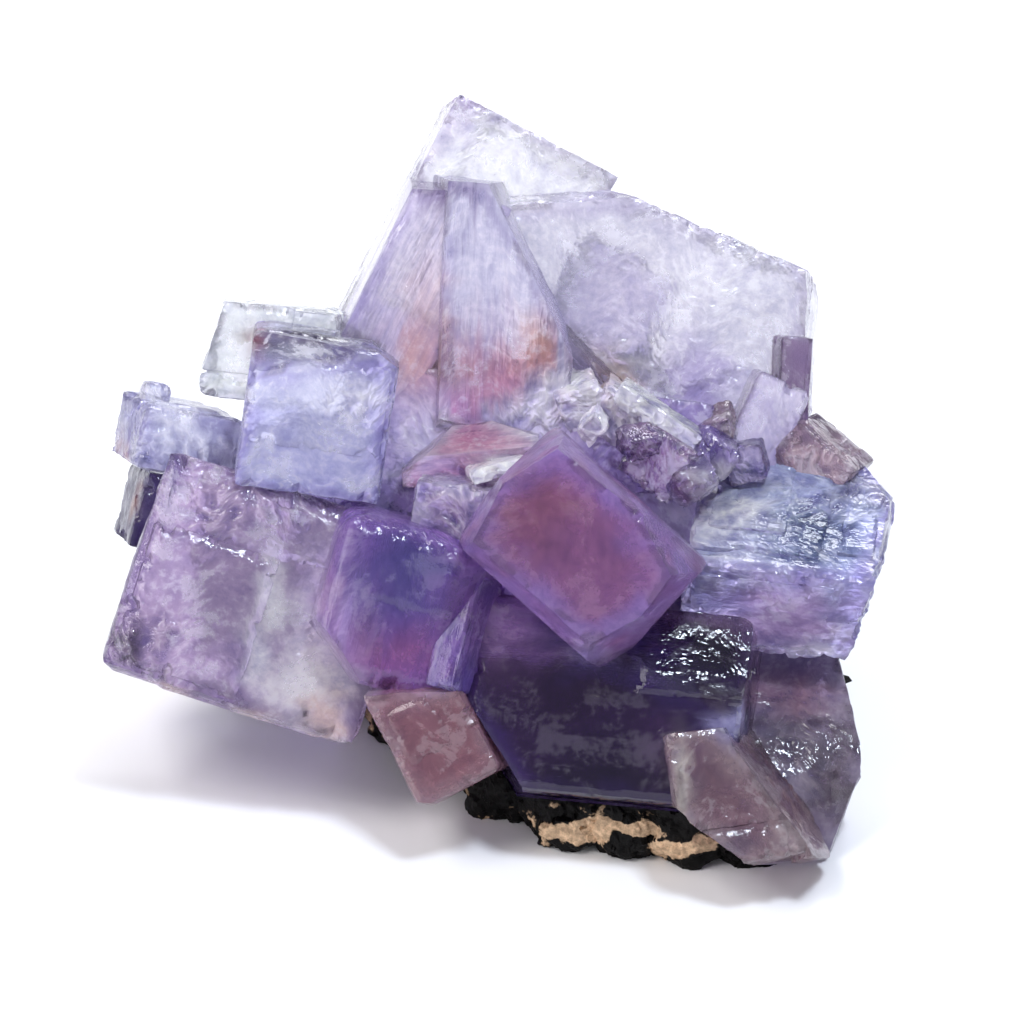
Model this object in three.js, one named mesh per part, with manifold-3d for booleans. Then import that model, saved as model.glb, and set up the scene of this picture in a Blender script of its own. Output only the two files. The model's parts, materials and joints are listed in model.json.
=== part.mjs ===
// Fluorite crystal cluster on a scrap of its matrix rock, in millimetres, +Z up.
//
// The crystals are listed in the face frame, the way the specimen is looked at: x to the right,
// y up the face and z out of the face. The face leans back by LEAN degrees when the cluster
// rests on the flat underside of its rock, so the standing frame is the face frame turned about x.
// The origin of the part is the middle of its footprint box, on the surface that it rests on.

import * as THREE from "three";
import { mergeVertices } from "three/addons/utils/BufferGeometryUtils.js";
import Module from "manifold-3d";

const wasm = await Module();
wasm.setup();

// Driving dimensions
const LEAN = 30;            // degrees that the face leans back from upright
const REST_LEVEL = 4;       // height in the standing frame at which the rock is flat underneath
const ROCK_GAP = 0.3;       // hairline left between the rock and the crystals
const PLATE_RISE = 0.35;    // thickness of an ordinary growth plate on a crystal face
const PLATE_MIN_EDGE = 7;   // crystals with a shorter edge than this have no growth plates
const CUT_REACH = 60;       // edge of the block that takes a broken corner or side away
const BED_REACH = 200;      // width of the bedrock that is taken away below the rest surface
const BED_DEPTH = 50;       // depth of that bedrock
const ROCK_ROUGH = 0.16;    // depth of the rock's hollows, as a share of a lump's radius
const ROCK_DETAIL = 4;      // how finely a lump of rock is faceted

// Each crystal is a cuboid: the middle, the three edges, and the turn about x, y and z in degrees.
// A cut takes away what lies beyond a point, on the side that the cut faces.
// A plate is a thin layer grown on a face, given by its two spans in shares of the face and its rise.
const CRYSTALS = [
  // The pale crown at the top and the blades below it
  { name: "crown peak", at: [-4.1, 62.2, -13.9], size: [18.5, 26, 15], turn: [-3, 7, -27.5],
    plates: [["+z", -0.5, 0.5, -0.02, 0.5, 0.5], ["+z", 0.1, 0.5, -0.3, 0.02, 0.4]] },
  { name: "crown face", at: [13.9, 53.15, -11.65], size: [40, 24, 16], turn: [-3, 3, -23],
    cuts: [[[11.8, 48.5, -3], [-0.66, -0.7, 0.28]], [[29.4, 55, -5], [1, -0.06, 0.15]],
      [[5, 66.4, -4], [-0.06, 1, 0.35]]],
    plates: [["+y", 0.05, 0.4, -0.4, 0.4, 0.6]] },
  { name: "crown back", at: [4.3, 59.5, -18], size: [30, 20, 13], turn: [4, -4, -28] },
  { name: "left blade", at: [-10.5, 56.5, -3], size: [10, 26, 14], turn: [3, 6, -26],
    cuts: [[[-8.7, 67.9, 0], [0.05, 1, 0.15]]], plates: [] },
  { name: "middle blade", at: [-1.2, 56.5, -2], size: [13.5, 26, 14], turn: [4, 8, -2],
    cuts: [[[-4.2, 68.4, 0], [0.1, 1, 0.1]], [[2.1, 58.2, 5], [0.9, 0.42, 0.15]],
      [[-7.1, 60.5, 5], [-0.98, 0.05, 0.15]], [[-0.2, 42.6, 3], [-0.12, -0.9, 0.5]]], plates: [] },
  { name: "sliver", at: [27.8, 47.6, -3.5], size: [3.3, 11, 9], turn: [3, 6, -3] },
  { name: "sliver foot", at: [25.3, 44.6, -2.5], size: [6, 9, 8], turn: [3, 6, -24], plates: [] },

  // The blocks on the left
  { name: "tall block", at: [-19.4, 45.4, 3], size: [14.6, 15.2, 14], turn: [10, 4, -8],
    cuts: [[[-14, 51.7, 8], [0.62, 0.78, 0.1]], [[-20, 51.2, 9.8], [-0.08, 0.62, 0.78]]],
    plates: [["+z", -0.46, 0.46, -0.2, 0.42, 0.35], ["+y", -0.44, 0.44, -0.4, 0.2, 0.3]] },
  { name: "pale block", at: [-23.7, 51.5, -6], size: [13, 9.5, 12], turn: [5, -4, -6],
    cuts: [[[-30, 52, 0], [-0.94, 0.34, 0.1]]] },
  { name: "upper ear", at: [-33.7, 42.9, -5], size: [11, 6.8, 9], turn: [8, 24, -9],
    plates: [["+y", -0.4, 0.3, -0.4, 0.3, 0.4]] },
  { name: "ear top", at: [-36.1, 46.9, -4], size: [3.2, 3.4, 4], turn: [4, 10, -10] },
  { name: "lower ear", at: [-36.2, 35.7, -6], size: [5.5, 8, 9], turn: [4, 18, -14] },
  { name: "left cube", at: [-25.1, 26.5, -1.4], size: [26.6, 22.6, 19], turn: [-3, 2, -18],
    cuts: [[[-14, 18, 5], [1, -0.15, 0.1]], [[-40.5, 21.3, 8], [-0.8, -0.6, 0]],
      [[-33.2, 41.8, 8], [-0.94, 0.33, 0]]],
    plates: [["+z", -0.47, 0.04, -0.46, 0.2, 1.1], ["+z", -0.3, 0.3, 0.16, 0.46, 0.6],
      ["-y", -0.3, 0.4, -0.3, 0.42, 0.5]] },

  // The dark cubes in front
  { name: "dark cube", at: [-11.3, 26.4, 5.4], size: [16.3, 16.5, 14.4], turn: [6, 8, -15.7],
    cuts: [[[-17.2, 22.5, 12], [-0.81, -0.59, 0.25]]],
    plates: [["+z", -0.36, 0.46, -0.06, 0.42, 0.3], ["+y", -0.46, 0.3, -0.3, 0.46, 0.3]] },
  { name: "front cube", at: [6.5, 31.7, 14.5], size: [20.5, 14.7, 15], turn: [3, -3, -42],
    cuts: [[[-1, 38.5, 18], [-0.89, 0.46, 0.12]], [[4.9, 42.3, 18], [-0.55, 0.84, 0.15]],
      [[4.9, 42.3, 18], [0.62, 0.785, 0.3]], [[14.9, 34.4, 18], [0.88, 0.47, 0.5]],
      [[17.5, 29.5, 18], [0.8, -0.6, 0.4]], [[7.1, 21.2, 18], [0.48, -0.88, 0.3]],
      [[-3.5, 30.8, 18], [-0.67, -0.745, 0.35]]],
    plates: [] },
  { name: "big dark cube", at: [10.1, 16.2, 4], size: [27.5, 19.3, 19], turn: [-4, -9, -5],
    cuts: [[[-2.2, 13.2, 9], [-0.85, -0.52, 0.1]], [[24.9, 25, 9], [0.8, 0.6, 0]],
      [[20, 20, 13.2], [0.09, 0.5, 0.86]]],
    plates: [["+z", 0.1, 0.46, 0.02, 0.44, 0.5],
      ["+x", -0.3, 0.3, -0.3, 0.3, 0.4]] },
  { name: "side wedge", at: [-4, 23.3, 9.5], size: [3.6, 11.5, 8], turn: [0, -30, -14],
    cuts: [[[-5.9, 24.5, 12], [-0.8, 0.6, 0.1]]] },
  { name: "brown crystal", at: [-7.4, 13.9, 8], size: [9.2, 13, 9], turn: [-4, -6, 28],
    cuts: [[[-10, 18.4, 9], [-0.1, 1, 0.3]], [[-6.2, 6.6, 9], [-0.1, -1, 0.1]]],
    plates: [["+z", -0.4, 0.2, -0.2, 0.3, 0.4]] },

  // The stepped and broken crystals on the right
  { name: "step cube", at: [27.6, 31.1, 2], size: [19.5, 11.4, 18.5], turn: [42, -8, -6],
    cuts: [[[35.8, 38.5, 0], [0.75, 0.65, 0.1]], [[34.4, 25.5, 3], [0.94, -0.34, 0.1]]],
    plates: [["+y", -0.47, 0.2, -0.47, 0.36, 0.5], ["+y", -0.4, 0, -0.4, 0.2, 1],
      ["+y", 0.26, 0.46, -0.3, 0.3, 0.4], ["+z", -0.45, 0.3, -0.4, 0.4, 0.3]] },
  { name: "corner cube", at: [28.1, 11.3, 1], size: [10.5, 20.6, 14], turn: [0, 10, 2],
    cuts: [[[32.9, 6.5, 6], [0.93, -0.34, 0.1]], [[32.8, 17, 6], [0.95, 0.3, 0.1]],
      [[29, 9.4, 7.9], [0.06, 0.38, 0.92]], [[29, 12.6, 6.7], [0.05, 0.62, 0.78]]],
    plates: [] },
  { name: "corner front", at: [22.9, 7.6, 12], size: [15, 13, 10], turn: [-8, 10, 7],
    cuts: [[[26.2, 8.3, 11], [0.8, 0.58, 0.25]], [[19.5, 4.1, 11], [-0.6, -0.78, 0]]] },

  // Small crystals in the middle
  { name: "pink plate", at: [-4.2, 42, 3.5], size: [14, 4.4, 9], turn: [35, 0, 5],
    cuts: [[[-7, 42, 8], [-0.65, 0.76, 0.15]], [[-0.5, 43.4, 8], [0.28, 0.96, 0.1]]] },
  { name: "mauve block", at: [-4.6, 35, 5], size: [10, 8, 9], turn: [12, -6, -10] },
  { name: "rubble one", at: [10.8, 45, 1], size: [6.5, 5, 7], turn: [20, 10, -35] },
  { name: "rubble two", at: [15.3, 40.5, 3.5], size: [6.5, 6, 8], turn: [15, -12, -35] },
  { name: "rubble three", at: [6.8, 46.5, 2], size: [5, 4.5, 6], turn: [25, 0, 20] },
  { name: "rubble four", at: [12.5, 42.2, 7], size: [4, 3, 4], turn: [30, 20, 10] },
  { name: "rubble five", at: [17.8, 38.2, 7.5], size: [4.5, 3.5, 4], turn: [-10, 25, 35] },
  { name: "rubble six", at: [8, 43.8, 6], size: [3, 2.5, 4], turn: [15, -25, 40] },
  { name: "rubble seven", at: [20.5, 44, 1.5], size: [3.5, 3, 5], turn: [25, -15, 15] },
  { name: "white chip", at: [-1.4, 39.6, 8.5], size: [6, 1.4, 4], turn: [15, 10, 14] },
  { name: "knob one", at: [19.6, 41, 4], size: [4.5, 5, 6], turn: [20, 15, -30] },
  { name: "knob two", at: [23.5, 40.5, 2], size: [4, 4, 6], turn: [10, -10, 10] },
  { name: "knob three", at: [31, 40.6, -1.5], size: [8, 5.5, 8], turn: [20, -8, -42] },
  { name: "white strip", at: [14.7, 44.8, 3.5], size: [10, 2.2, 5], turn: [15, 0, -33] },

  // The far side
  { name: "heart", at: [2, 34, -8], size: [34, 28, 22], turn: [0, 0, -6] },
  { name: "back left upper", at: [-9, 50, -18], size: [15, 17, 13], turn: [8, 24, -18] },
  { name: "back middle", at: [7, 42, -24], size: [18, 16, 15], turn: [-14, 32, 12] },
  { name: "back right", at: [20, 40, -18], size: [14, 14, 14], turn: [18, -24, 14] },
  { name: "back left", at: [-22, 38, -15], size: [15, 13, 15], turn: [-10, -28, 18] },
  { name: "back low", at: [-8, 30, -23], size: [15, 14, 13], turn: [26, 12, -22] },
  { name: "back right low", at: [23, 25, -14], size: [13, 13, 15], turn: [-20, 18, -10] },
  { name: "back left low", at: [-24, 26, -11], size: [13, 12, 14], turn: [14, 38, 8] },
  { name: "back crown cube", at: [9, 57, -23], size: [11, 10, 9], turn: [16, -20, -30] },
  { name: "back crown chip", at: [-3, 66, -20], size: [8, 9, 7], turn: [-10, 30, 10] },
  { name: "back side cube", at: [30, 33, -9], size: [8, 9, 9], turn: [12, 28, -16] },
  { name: "back small cube", at: [4, 30, -28], size: [8, 7, 8], turn: [30, -22, 14] },
];

// Lumps of the rock in the standing frame: the middle and the three radii
const ROCK_LUMPS = [
  // The front edge, which shows below the crystals
  { at: [0.5, 6.5, 2.5], radii: [6, 5.5, 6] },
  { at: [6, 2.5, 3], radii: [5.5, 6, 6.5] },
  { at: [11.5, 0.5, 3], radii: [5.2, 6, 7] },
  { at: [17.5, -0.5, 3.2], radii: [5.4, 6.4, 7] },
  { at: [23, 0, 2.5], radii: [5, 6.8, 6.5] },
  { at: [26.5, 7, 3], radii: [5.5, 7, 6] },
  // The body below and behind the crystals
  { at: [10, 16, 5], radii: [22, 15, 12] },
  { at: [-3, 23, 4], radii: [13, 12, 10] },
  { at: [-18, 32, 3], radii: [11, 9, 8] },
  { at: [19, 25, 4], radii: [13, 14, 10] },
  { at: [4, 33, 6], radii: [20, 13, 15] },
  { at: [-14, 34, 5], radii: [13, 10, 11] },
];

const FACE_AXES = { x: 0, y: 1, z: 2 };

function rigid(at, turn) {
  const radians = turn.map(THREE.MathUtils.degToRad);
  const spin = new THREE.Quaternion().setFromEuler(new THREE.Euler(...radians, "ZYX"));
  return new THREE.Matrix4().compose(new THREE.Vector3(...at), spin, new THREE.Vector3(1, 1, 1));
}

// From the face frame to the standing frame
const stand = rigid([0, 0, -REST_LEVEL], [90 - LEAN, 0, 0]);

function toSolid(geometry) {
  const bare = geometry.clone();
  bare.deleteAttribute("normal");
  bare.deleteAttribute("uv");
  const merged = mergeVertices(bare, 1e-5);
  return new wasm.Manifold(new wasm.Mesh({
    numProp: 3,
    vertProperties: new Float32Array(merged.attributes.position.array),
    triVerts: new Uint32Array(merged.index.array),
  }));
}

function toGeometry(solid) {
  const mesh = solid.getMesh();
  const geometry = new THREE.BufferGeometry();
  geometry.setAttribute("position", new THREE.BufferAttribute(mesh.vertProperties, mesh.numProp));
  geometry.setIndex(new THREE.BufferAttribute(mesh.triVerts, 1));
  const faceted = geometry.toNonIndexed();
  faceted.computeVertexNormals();
  return faceted;
}

function block(size, place) {
  return toSolid(new THREE.BoxGeometry(...size).applyMatrix4(place));
}

function unite(solids) {
  return solids.reduce((whole, solid) => whole.add(solid));
}

// The one grown-together body, without crumbs cut loose and with no hollow sealed inside
function mainBody(solid) {
  const bodies = solid.decompose();
  return bodies.reduce((best, body) => (body.volume() > best.volume() ? body : best));
}

// The block that takes away what lies beyond a point in the direction that a cut faces
function cutBlock(through, facing, grow) {
  const out = new THREE.Vector3(...facing).normalize();
  const spin = new THREE.Quaternion().setFromUnitVectors(new THREE.Vector3(0, 0, 1), out);
  const middle = new THREE.Vector3(...through).addScaledVector(out, grow + CUT_REACH / 2);
  const place = new THREE.Matrix4().compose(middle, spin, new THREE.Vector3(1, 1, 1));
  return block([CUT_REACH, CUT_REACH, CUT_REACH], place);
}

// Growth plates that an ordinary crystal has where none are listed for it
function ordinaryPlates(size, index) {
  if (Math.min(...size) < PLATE_MIN_EDGE) return [];
  const shift = 0.06 * (index % 3);
  return ["+z", "+y", "+x", "-z", "-y", "-x"].map((face, turn) => {
    const slide = turn % 2 ? shift : -shift;
    return [face, -0.42 + slide, 0.28 + slide, -0.36 - slide, 0.4 - slide, PLATE_RISE];
  });
}

function plateBlock(crystal, plate, grow) {
  const [face, fromU, toU, fromV, toV, rise] = plate;
  const side = face[0] === "+" ? 1 : -1;
  const axis = FACE_AXES[face[1]];
  const [u, v] = [0, 1, 2].filter((other) => other !== axis);
  const edges = crystal.size;
  const size = [0, 0, 0];
  const offset = [0, 0, 0];
  const root = edges[axis] / 4;
  size[axis] = root + rise + grow;
  offset[axis] = side * (edges[axis] / 2 + (rise + grow - root) / 2);
  size[u] = (toU - fromU) * edges[u] + 2 * grow;
  offset[u] = (fromU + toU) / 2 * edges[u];
  size[v] = (toV - fromV) * edges[v] + 2 * grow;
  offset[v] = (fromV + toV) / 2 * edges[v];
  const place = rigid(crystal.at, crystal.turn).multiply(new THREE.Matrix4().setPosition(...offset));
  return block(size, place);
}

// One crystal in the face frame, swollen by grow all round
function crystalSolid(crystal, index, grow) {
  const size = crystal.size.map((edge) => edge + 2 * grow);
  const plates = crystal.plates ?? ordinaryPlates(crystal.size, index);
  const grown = unite([
    block(size, rigid(crystal.at, crystal.turn)),
    ...plates.map((plate) => plateBlock(crystal, plate, grow)),
  ]);
  const cuts = crystal.cuts ?? [];
  return cuts.reduce((left, [through, facing]) => left.subtract(cutBlock(through, facing, grow)), grown);
}

// Everything below the surface that the cluster rests on
function belowRest() {
  const place = new THREE.Matrix4().setPosition(0, 0, -BED_DEPTH / 2);
  return block([BED_REACH, BED_REACH, BED_DEPTH], place);
}

function fluoriteSolid(grow) {
  const crystals = CRYSTALS.map((crystal, index) => crystalSolid(crystal, index, grow));
  const standing = unite(crystals).transform(stand.elements);
  return standing.subtract(belowRest());
}

// Slow waves over a lump, so that it has hollows and bosses
function rockWave(x, y, z, seed) {
  const wide = Math.sin(x * 0.55 + seed) * Math.sin(y * 0.6 + 2 * seed) * Math.cos(z * 0.5 + seed);
  const narrow = Math.sin(x * 1.3 - seed) * Math.cos(y * 1.2 + seed) * Math.sin(z * 1.4 + 3 * seed);
  return 0.65 * wide + 0.35 * narrow;
}

function rockLump(lump, index) {
  const geometry = new THREE.IcosahedronGeometry(1, ROCK_DETAIL);
  const points = geometry.attributes.position;
  const point = new THREE.Vector3();
  const radii = new THREE.Vector3(...lump.radii);
  const middle = new THREE.Vector3(...lump.at);
  for (let i = 0; i < points.count; i += 1) {
    point.fromBufferAttribute(points, i);
    const place = point.clone().multiply(radii).add(middle);
    const swell = 1 + ROCK_ROUGH * rockWave(place.x, place.y, place.z, index);
    point.multiplyScalar(swell).multiply(radii).add(middle);
    points.setXYZ(i, point.x, point.y, point.z);
  }
  return toSolid(geometry);
}

function rockSolid() {
  const lumps = unite(ROCK_LUMPS.map(rockLump)).subtract(belowRest());
  return mainBody(lumps.subtract(fluoriteSolid(ROCK_GAP)));
}

function namedMesh(name, solid, look) {
  const mesh = new THREE.Mesh(toGeometry(solid), new THREE.MeshStandardMaterial(look));
  mesh.name = name;
  return mesh;
}

const cluster = new THREE.Group();
cluster.add(namedMesh("fluorite_crystals", mainBody(fluoriteSolid(0)),
  { color: 0x9c8bc9, roughness: 0.2, metalness: 0 }));
cluster.add(namedMesh("matrix_rock", rockSolid(),
  { color: 0x4a3c30, roughness: 0.9, metalness: 0 }));

// The origin goes to the middle of the footprint box
const reach = new THREE.Box3().setFromObject(cluster);
const middle = reach.getCenter(new THREE.Vector3());
cluster.position.set(-middle.x, -middle.y, -reach.min.z);

const specimen = new THREE.Group();
specimen.add(cluster);

export default specimen;
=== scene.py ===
import json
import math

import bmesh
import bpy
import numpy as np
from mathutils import Euler, Matrix, Vector

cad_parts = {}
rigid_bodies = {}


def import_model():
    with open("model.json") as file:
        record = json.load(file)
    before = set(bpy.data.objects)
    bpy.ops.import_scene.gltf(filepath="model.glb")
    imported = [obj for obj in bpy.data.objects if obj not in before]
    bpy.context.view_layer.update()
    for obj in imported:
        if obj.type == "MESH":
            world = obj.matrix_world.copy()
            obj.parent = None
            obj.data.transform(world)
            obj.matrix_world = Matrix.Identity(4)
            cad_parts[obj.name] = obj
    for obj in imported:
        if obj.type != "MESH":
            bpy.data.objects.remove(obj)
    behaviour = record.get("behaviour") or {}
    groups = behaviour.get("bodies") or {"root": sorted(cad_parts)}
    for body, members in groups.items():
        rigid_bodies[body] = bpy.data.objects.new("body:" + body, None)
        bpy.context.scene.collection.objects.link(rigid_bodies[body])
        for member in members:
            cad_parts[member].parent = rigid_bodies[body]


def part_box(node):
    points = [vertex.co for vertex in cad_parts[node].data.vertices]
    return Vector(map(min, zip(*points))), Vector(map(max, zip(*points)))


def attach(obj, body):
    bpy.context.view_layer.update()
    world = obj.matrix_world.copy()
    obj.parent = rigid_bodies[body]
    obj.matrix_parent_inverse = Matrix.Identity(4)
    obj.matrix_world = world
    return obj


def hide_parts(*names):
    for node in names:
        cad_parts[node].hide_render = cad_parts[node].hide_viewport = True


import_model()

bl_info = {
    "name": "Fluorite crystal cluster",
    "version": (1, 0, 0),
    "blender": (4, 5, 0),
    "location": "View3D > Sidebar > Fluorite",
    "description": "Grows a cluster of fluorite cubes on its matrix rock and sets the stage for it",
    "category": "Add Mesh",
}

CRYSTALS_NODE = "fluorite_crystals"
ROCK_NODE = "matrix_rock"
BODY = "root"

# The crystals are worked out in millimetres and placed in metres
MM = 0.001

# The photograph's frame, and how it maps to the face frame in millimetres
FRAME_PIXELS = 1024
MM_PER_PIXEL = 0.1
FRAME_MIDDLE = (0.0, 35.3, 0.0)

# Spacing of the points and rounding of the edges, in millimetres, on a block that has no relief
PLAIN_GRID = 1000.0
PLAIN_ROUND = 0.001

# Size, in millimetres, of the block that stands for all that is below the rest level
BED_REACH = 200.0
BED_DEPTH = 50.0

# Faces that meet at more than this many degrees keep a sharp edge between them
CRYSTAL_CREASE = 22
ROCK_CREASE = 30

# Edge, in millimetres, of the small blocks whose faces are not quite in one plane
BLOCK_EDGE = 1.9

# How far apart two crystals read the same pattern, and how much of a zone's colour the rim takes
PATTERN_STEP = 31.0
RIM_SHARE = 0.8

# Height of the growth steps on plates and on broken faces, as a share of those on a cuboid
PLATE_STEPS = 0.5
BREAK_STEPS = 1.6

# How far a cut reaches, as a share of the diagonal of its crystal, and how deep a plate is rooted,
# as a share of the crystal's edge
CUT_REACH = 1.1
PLATE_ROOT = 0.25

# The spans of an ordinary plate in shares of its face, and how far it slides from face to face
PLATE_SPANS = (-0.42, 0.28, -0.36, 0.4)
PLATE_SLIDE = 0.06

# How far apart two blocks read the pattern of their relief, along x, y and z in millimetres
RELIEF_STEPS = (17.3, 9.1, 5.7)

# The relief of a face has wide, middling and narrow steps: how many of each there are in a
# millimetre, the share of the relief's height that each has, and how far their borders wander
STEP_SCALES = (0.17, 0.5, 1.2)
STEP_SHARES = (0.45, 0.35, 0.2)
STEP_WANDER = 1.1

# A lump of rock goes in and out in waves, in blocks and in grains: how many of each there are in
# a millimetre, and how high they are as a share of the lump
LUMP_SCALES = (0.22, 0.4, 1.3)
LUMP_SHARES = (0.5, 0.14, 0.16)

# How fine the clouds, striations and flakes of the crystals are, in repeats per millimetre
CLOUDS = 1.1
STRIATIONS = 1.9
FLAKES = 0.4

# Between which values of a pattern each marking of the crystals sets in
CLOUD_RANGE = (0.34, 0.66)
CRACK_RANGE = (2.05, 2.35)
MILK_RANGE = (1.02, 1.25)
SPECK_RANGE = (0.28, 0.2)
FROST_RANGE = (0.3, 0.7)
EDGE_RANGE = (0.3, 0.08)
# Where the painted white highlights along the edges set in
EDGE_HIGHLIGHT_RANGE = (0.52, 0.42)
INKED_RANGE = (0.48, 0.58)

# How fine the tan lumps and the grain of the rock are, in repeats per metre, and where tan sets in
TAN_LUMPS = 300
ROCK_GRAIN = 1500
TAN_RANGE = (0.84, 0.94)

# How far the faces of the small blocks are tilted, and how high flakes and rock grains stand
TILT = 0.12
FLAKE_HEIGHT = 0.2 * MM
GRAIN_HEIGHT = 0.25 * MM

# What turns the place of a small block into a value that looks random
SCRAMBLE = (12.9898, 78.233, 37.719)
SCRAMBLE_REACH = 43758.5453

# The kind and the field of an attribute with one, three or four values for each corner
ATTRIBUTE_KINDS = {1: ("FLOAT", "value"), 3: ("FLOAT_VECTOR", "vector"), 4: ("FLOAT_COLOR", "color")}

# Width of the camera's sensor in millimetres
SENSOR_WIDTH = 36

# Patches with a smaller radius than this, in millimetres, have a less ragged outline
FULLY_RAGGED = 3.0


def linear(code, alpha=1.0):
    """A colour written as six hexadecimal digits, in linear light."""
    parts = [int(code[i:i + 2], 16) / 255 for i in (0, 2, 4)]
    light = [c / 12.92 if c <= 0.04045 else ((c + 0.055) / 1.055) ** 2.4 for c in parts]
    return (*light, alpha)


# How a crystal looks where its look doesn't say otherwise: how frosted it is, how many white veils
# it has and how strong the painted highlights along its edges are, how high the growth steps of its
# faces are, along which of its own axes its striations are stretched and how strong they are, how far
# its edges are rounded, how wide its rim is and how cloudy its body is. Lengths are in millimetres.
PLAIN_LOOK = dict(
    frost=0.3, veil_and_highlight=0.4, mosaic=0.3, grain=(1, 1, 1), fibre=0.35, round=0.4, band=2.2, cloudy=1.0)

# The colours of the body and the rim of each kind of crystal, and what else is not plain
LOOKS = {
    "crown": dict(core="f7f6f7", rim="dbd4e5", frost=0.8, veil_and_highlight=0.9, mosaic=0.4, cloudy=0.6),
    "crown face": dict(core="d2cfdb", rim="c2bbd1", frost=0.6, veil_and_highlight=0.7, cloudy=0.6),
    "left blade": dict(core="d2c9dc", rim="aba0c8", frost=0.35, veil_and_highlight=0.3, mosaic=0.15, fibre=0.8,
                       cloudy=0.4, grain=(1, 0.12, 1)),
    "middle blade": dict(core="c6c2d7", rim="a39ebf", frost=0.35, mosaic=0.2, fibre=0.8,
                         cloudy=0.7, grain=(1, 0.15, 1)),
    "sliver": dict(core="5a4264", rim="6c5478", frost=0.4, veil_and_highlight=0.2, mosaic=0.2, grain=(1, 0.2, 1)),
    "sliver foot": dict(core="d8d0e4", rim="c4b8d8", frost=0.4, mosaic=0.2, grain=(1, 0.3, 1)),
    "tall": dict(core="d0d0f1", rim="a9a2db", frost=0.4, veil_and_highlight=0.6, mosaic=0.25, round=0.7, cloudy=0.8),
    "pale": dict(core="e8ebea", rim="d0d3da", frost=0.4, veil_and_highlight=0.7),
    "ear": dict(core="c7c7dd", rim="a09dc4", frost=0.35, veil_and_highlight=0.6, round=0.8),
    "lower ear": dict(core="3e3360", rim="372c55", veil_and_highlight=0.05),
    "left": dict(core="ae98be", rim="8d77a4", frost=0.35, round=1.4),
    "dark": dict(core="8e68bc", rim="a07cd0", frost=0.2, veil_and_highlight=0.12, mosaic=0.15, fibre=0.5,
                 round=2.2, grain=(1, 0.15, 1)),
    "front": dict(core="9c68a0", rim="a482c8", frost=0.25, veil_and_highlight=0.06, mosaic=0.12, band=3.0, round=0.8),
    "indigo": dict(core="341e4c", rim="452f6e", frost=0.15, veil_and_highlight=0.08, mosaic=0.25, fibre=0.3,
                   round=1.4, grain=(0.2, 1, 1)),
    "wedge": dict(core="8a78c0", rim="7460b0", frost=0.25, veil_and_highlight=0.3, mosaic=0.15, fibre=0.8,
                  grain=(1, 0.15, 1)),
    "brown": dict(core="9a6a7a", rim="ae8794", veil_and_highlight=0.2, mosaic=0.25, round=0.9),
    "stepped": dict(core="b0b8e0", rim="a8a0d6", frost=0.15, veil_and_highlight=0.3, mosaic=0.9, fibre=0.6,
                    grain=(0.45, 1, 1)),
    "corner": dict(core="a690b4", rim="beaecc", frost=0.15, veil_and_highlight=0.15, mosaic=0.4, grain=(1, 0.5, 1)),
    "corner front": dict(core="927080", rim="ae949e", veil_and_highlight=0.25, mosaic=0.35),
    "pink": dict(core="c07ca8", rim="d8b4d0", frost=0.35, veil_and_highlight=0.5, mosaic=0.2, fibre=0.9,
                 grain=(0.2, 1, 1)),
    "mauve": dict(core="ac96c4", rim="d0c4e8", frost=0.25, veil_and_highlight=0.5, mosaic=0.5, grain=(1, 0.4, 1)),
    "rubble": dict(core="ffffff", rim="f4e8ff", veil_and_highlight=0.7, mosaic=0.5),
    "rubble mauve": dict(core="8e6c9a", rim="7a6490", veil_and_highlight=0.5, mosaic=0.5),
    "rubble brown": dict(core="9c8494", rim="8c7488", mosaic=0.5),
    "strip": dict(core="f6f6fa", rim="f6f6fa", frost=0.2, veil_and_highlight=1.0, mosaic=0.0),
    "knob": dict(core="54447c", rim="6a5a94", frost=0.2, veil_and_highlight=0.2, mosaic=0.4),
    "heart": dict(core="9484b8", rim="a090c4", mosaic=0.5),
    "back": dict(core="b0a2d2", rim="8a7ab8", frost=0.4, mosaic=0.35),
    "back dark": dict(core="8468ae", rim="6a5296", frost=0.25, veil_and_highlight=0.2, mosaic=0.35),
}

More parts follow.
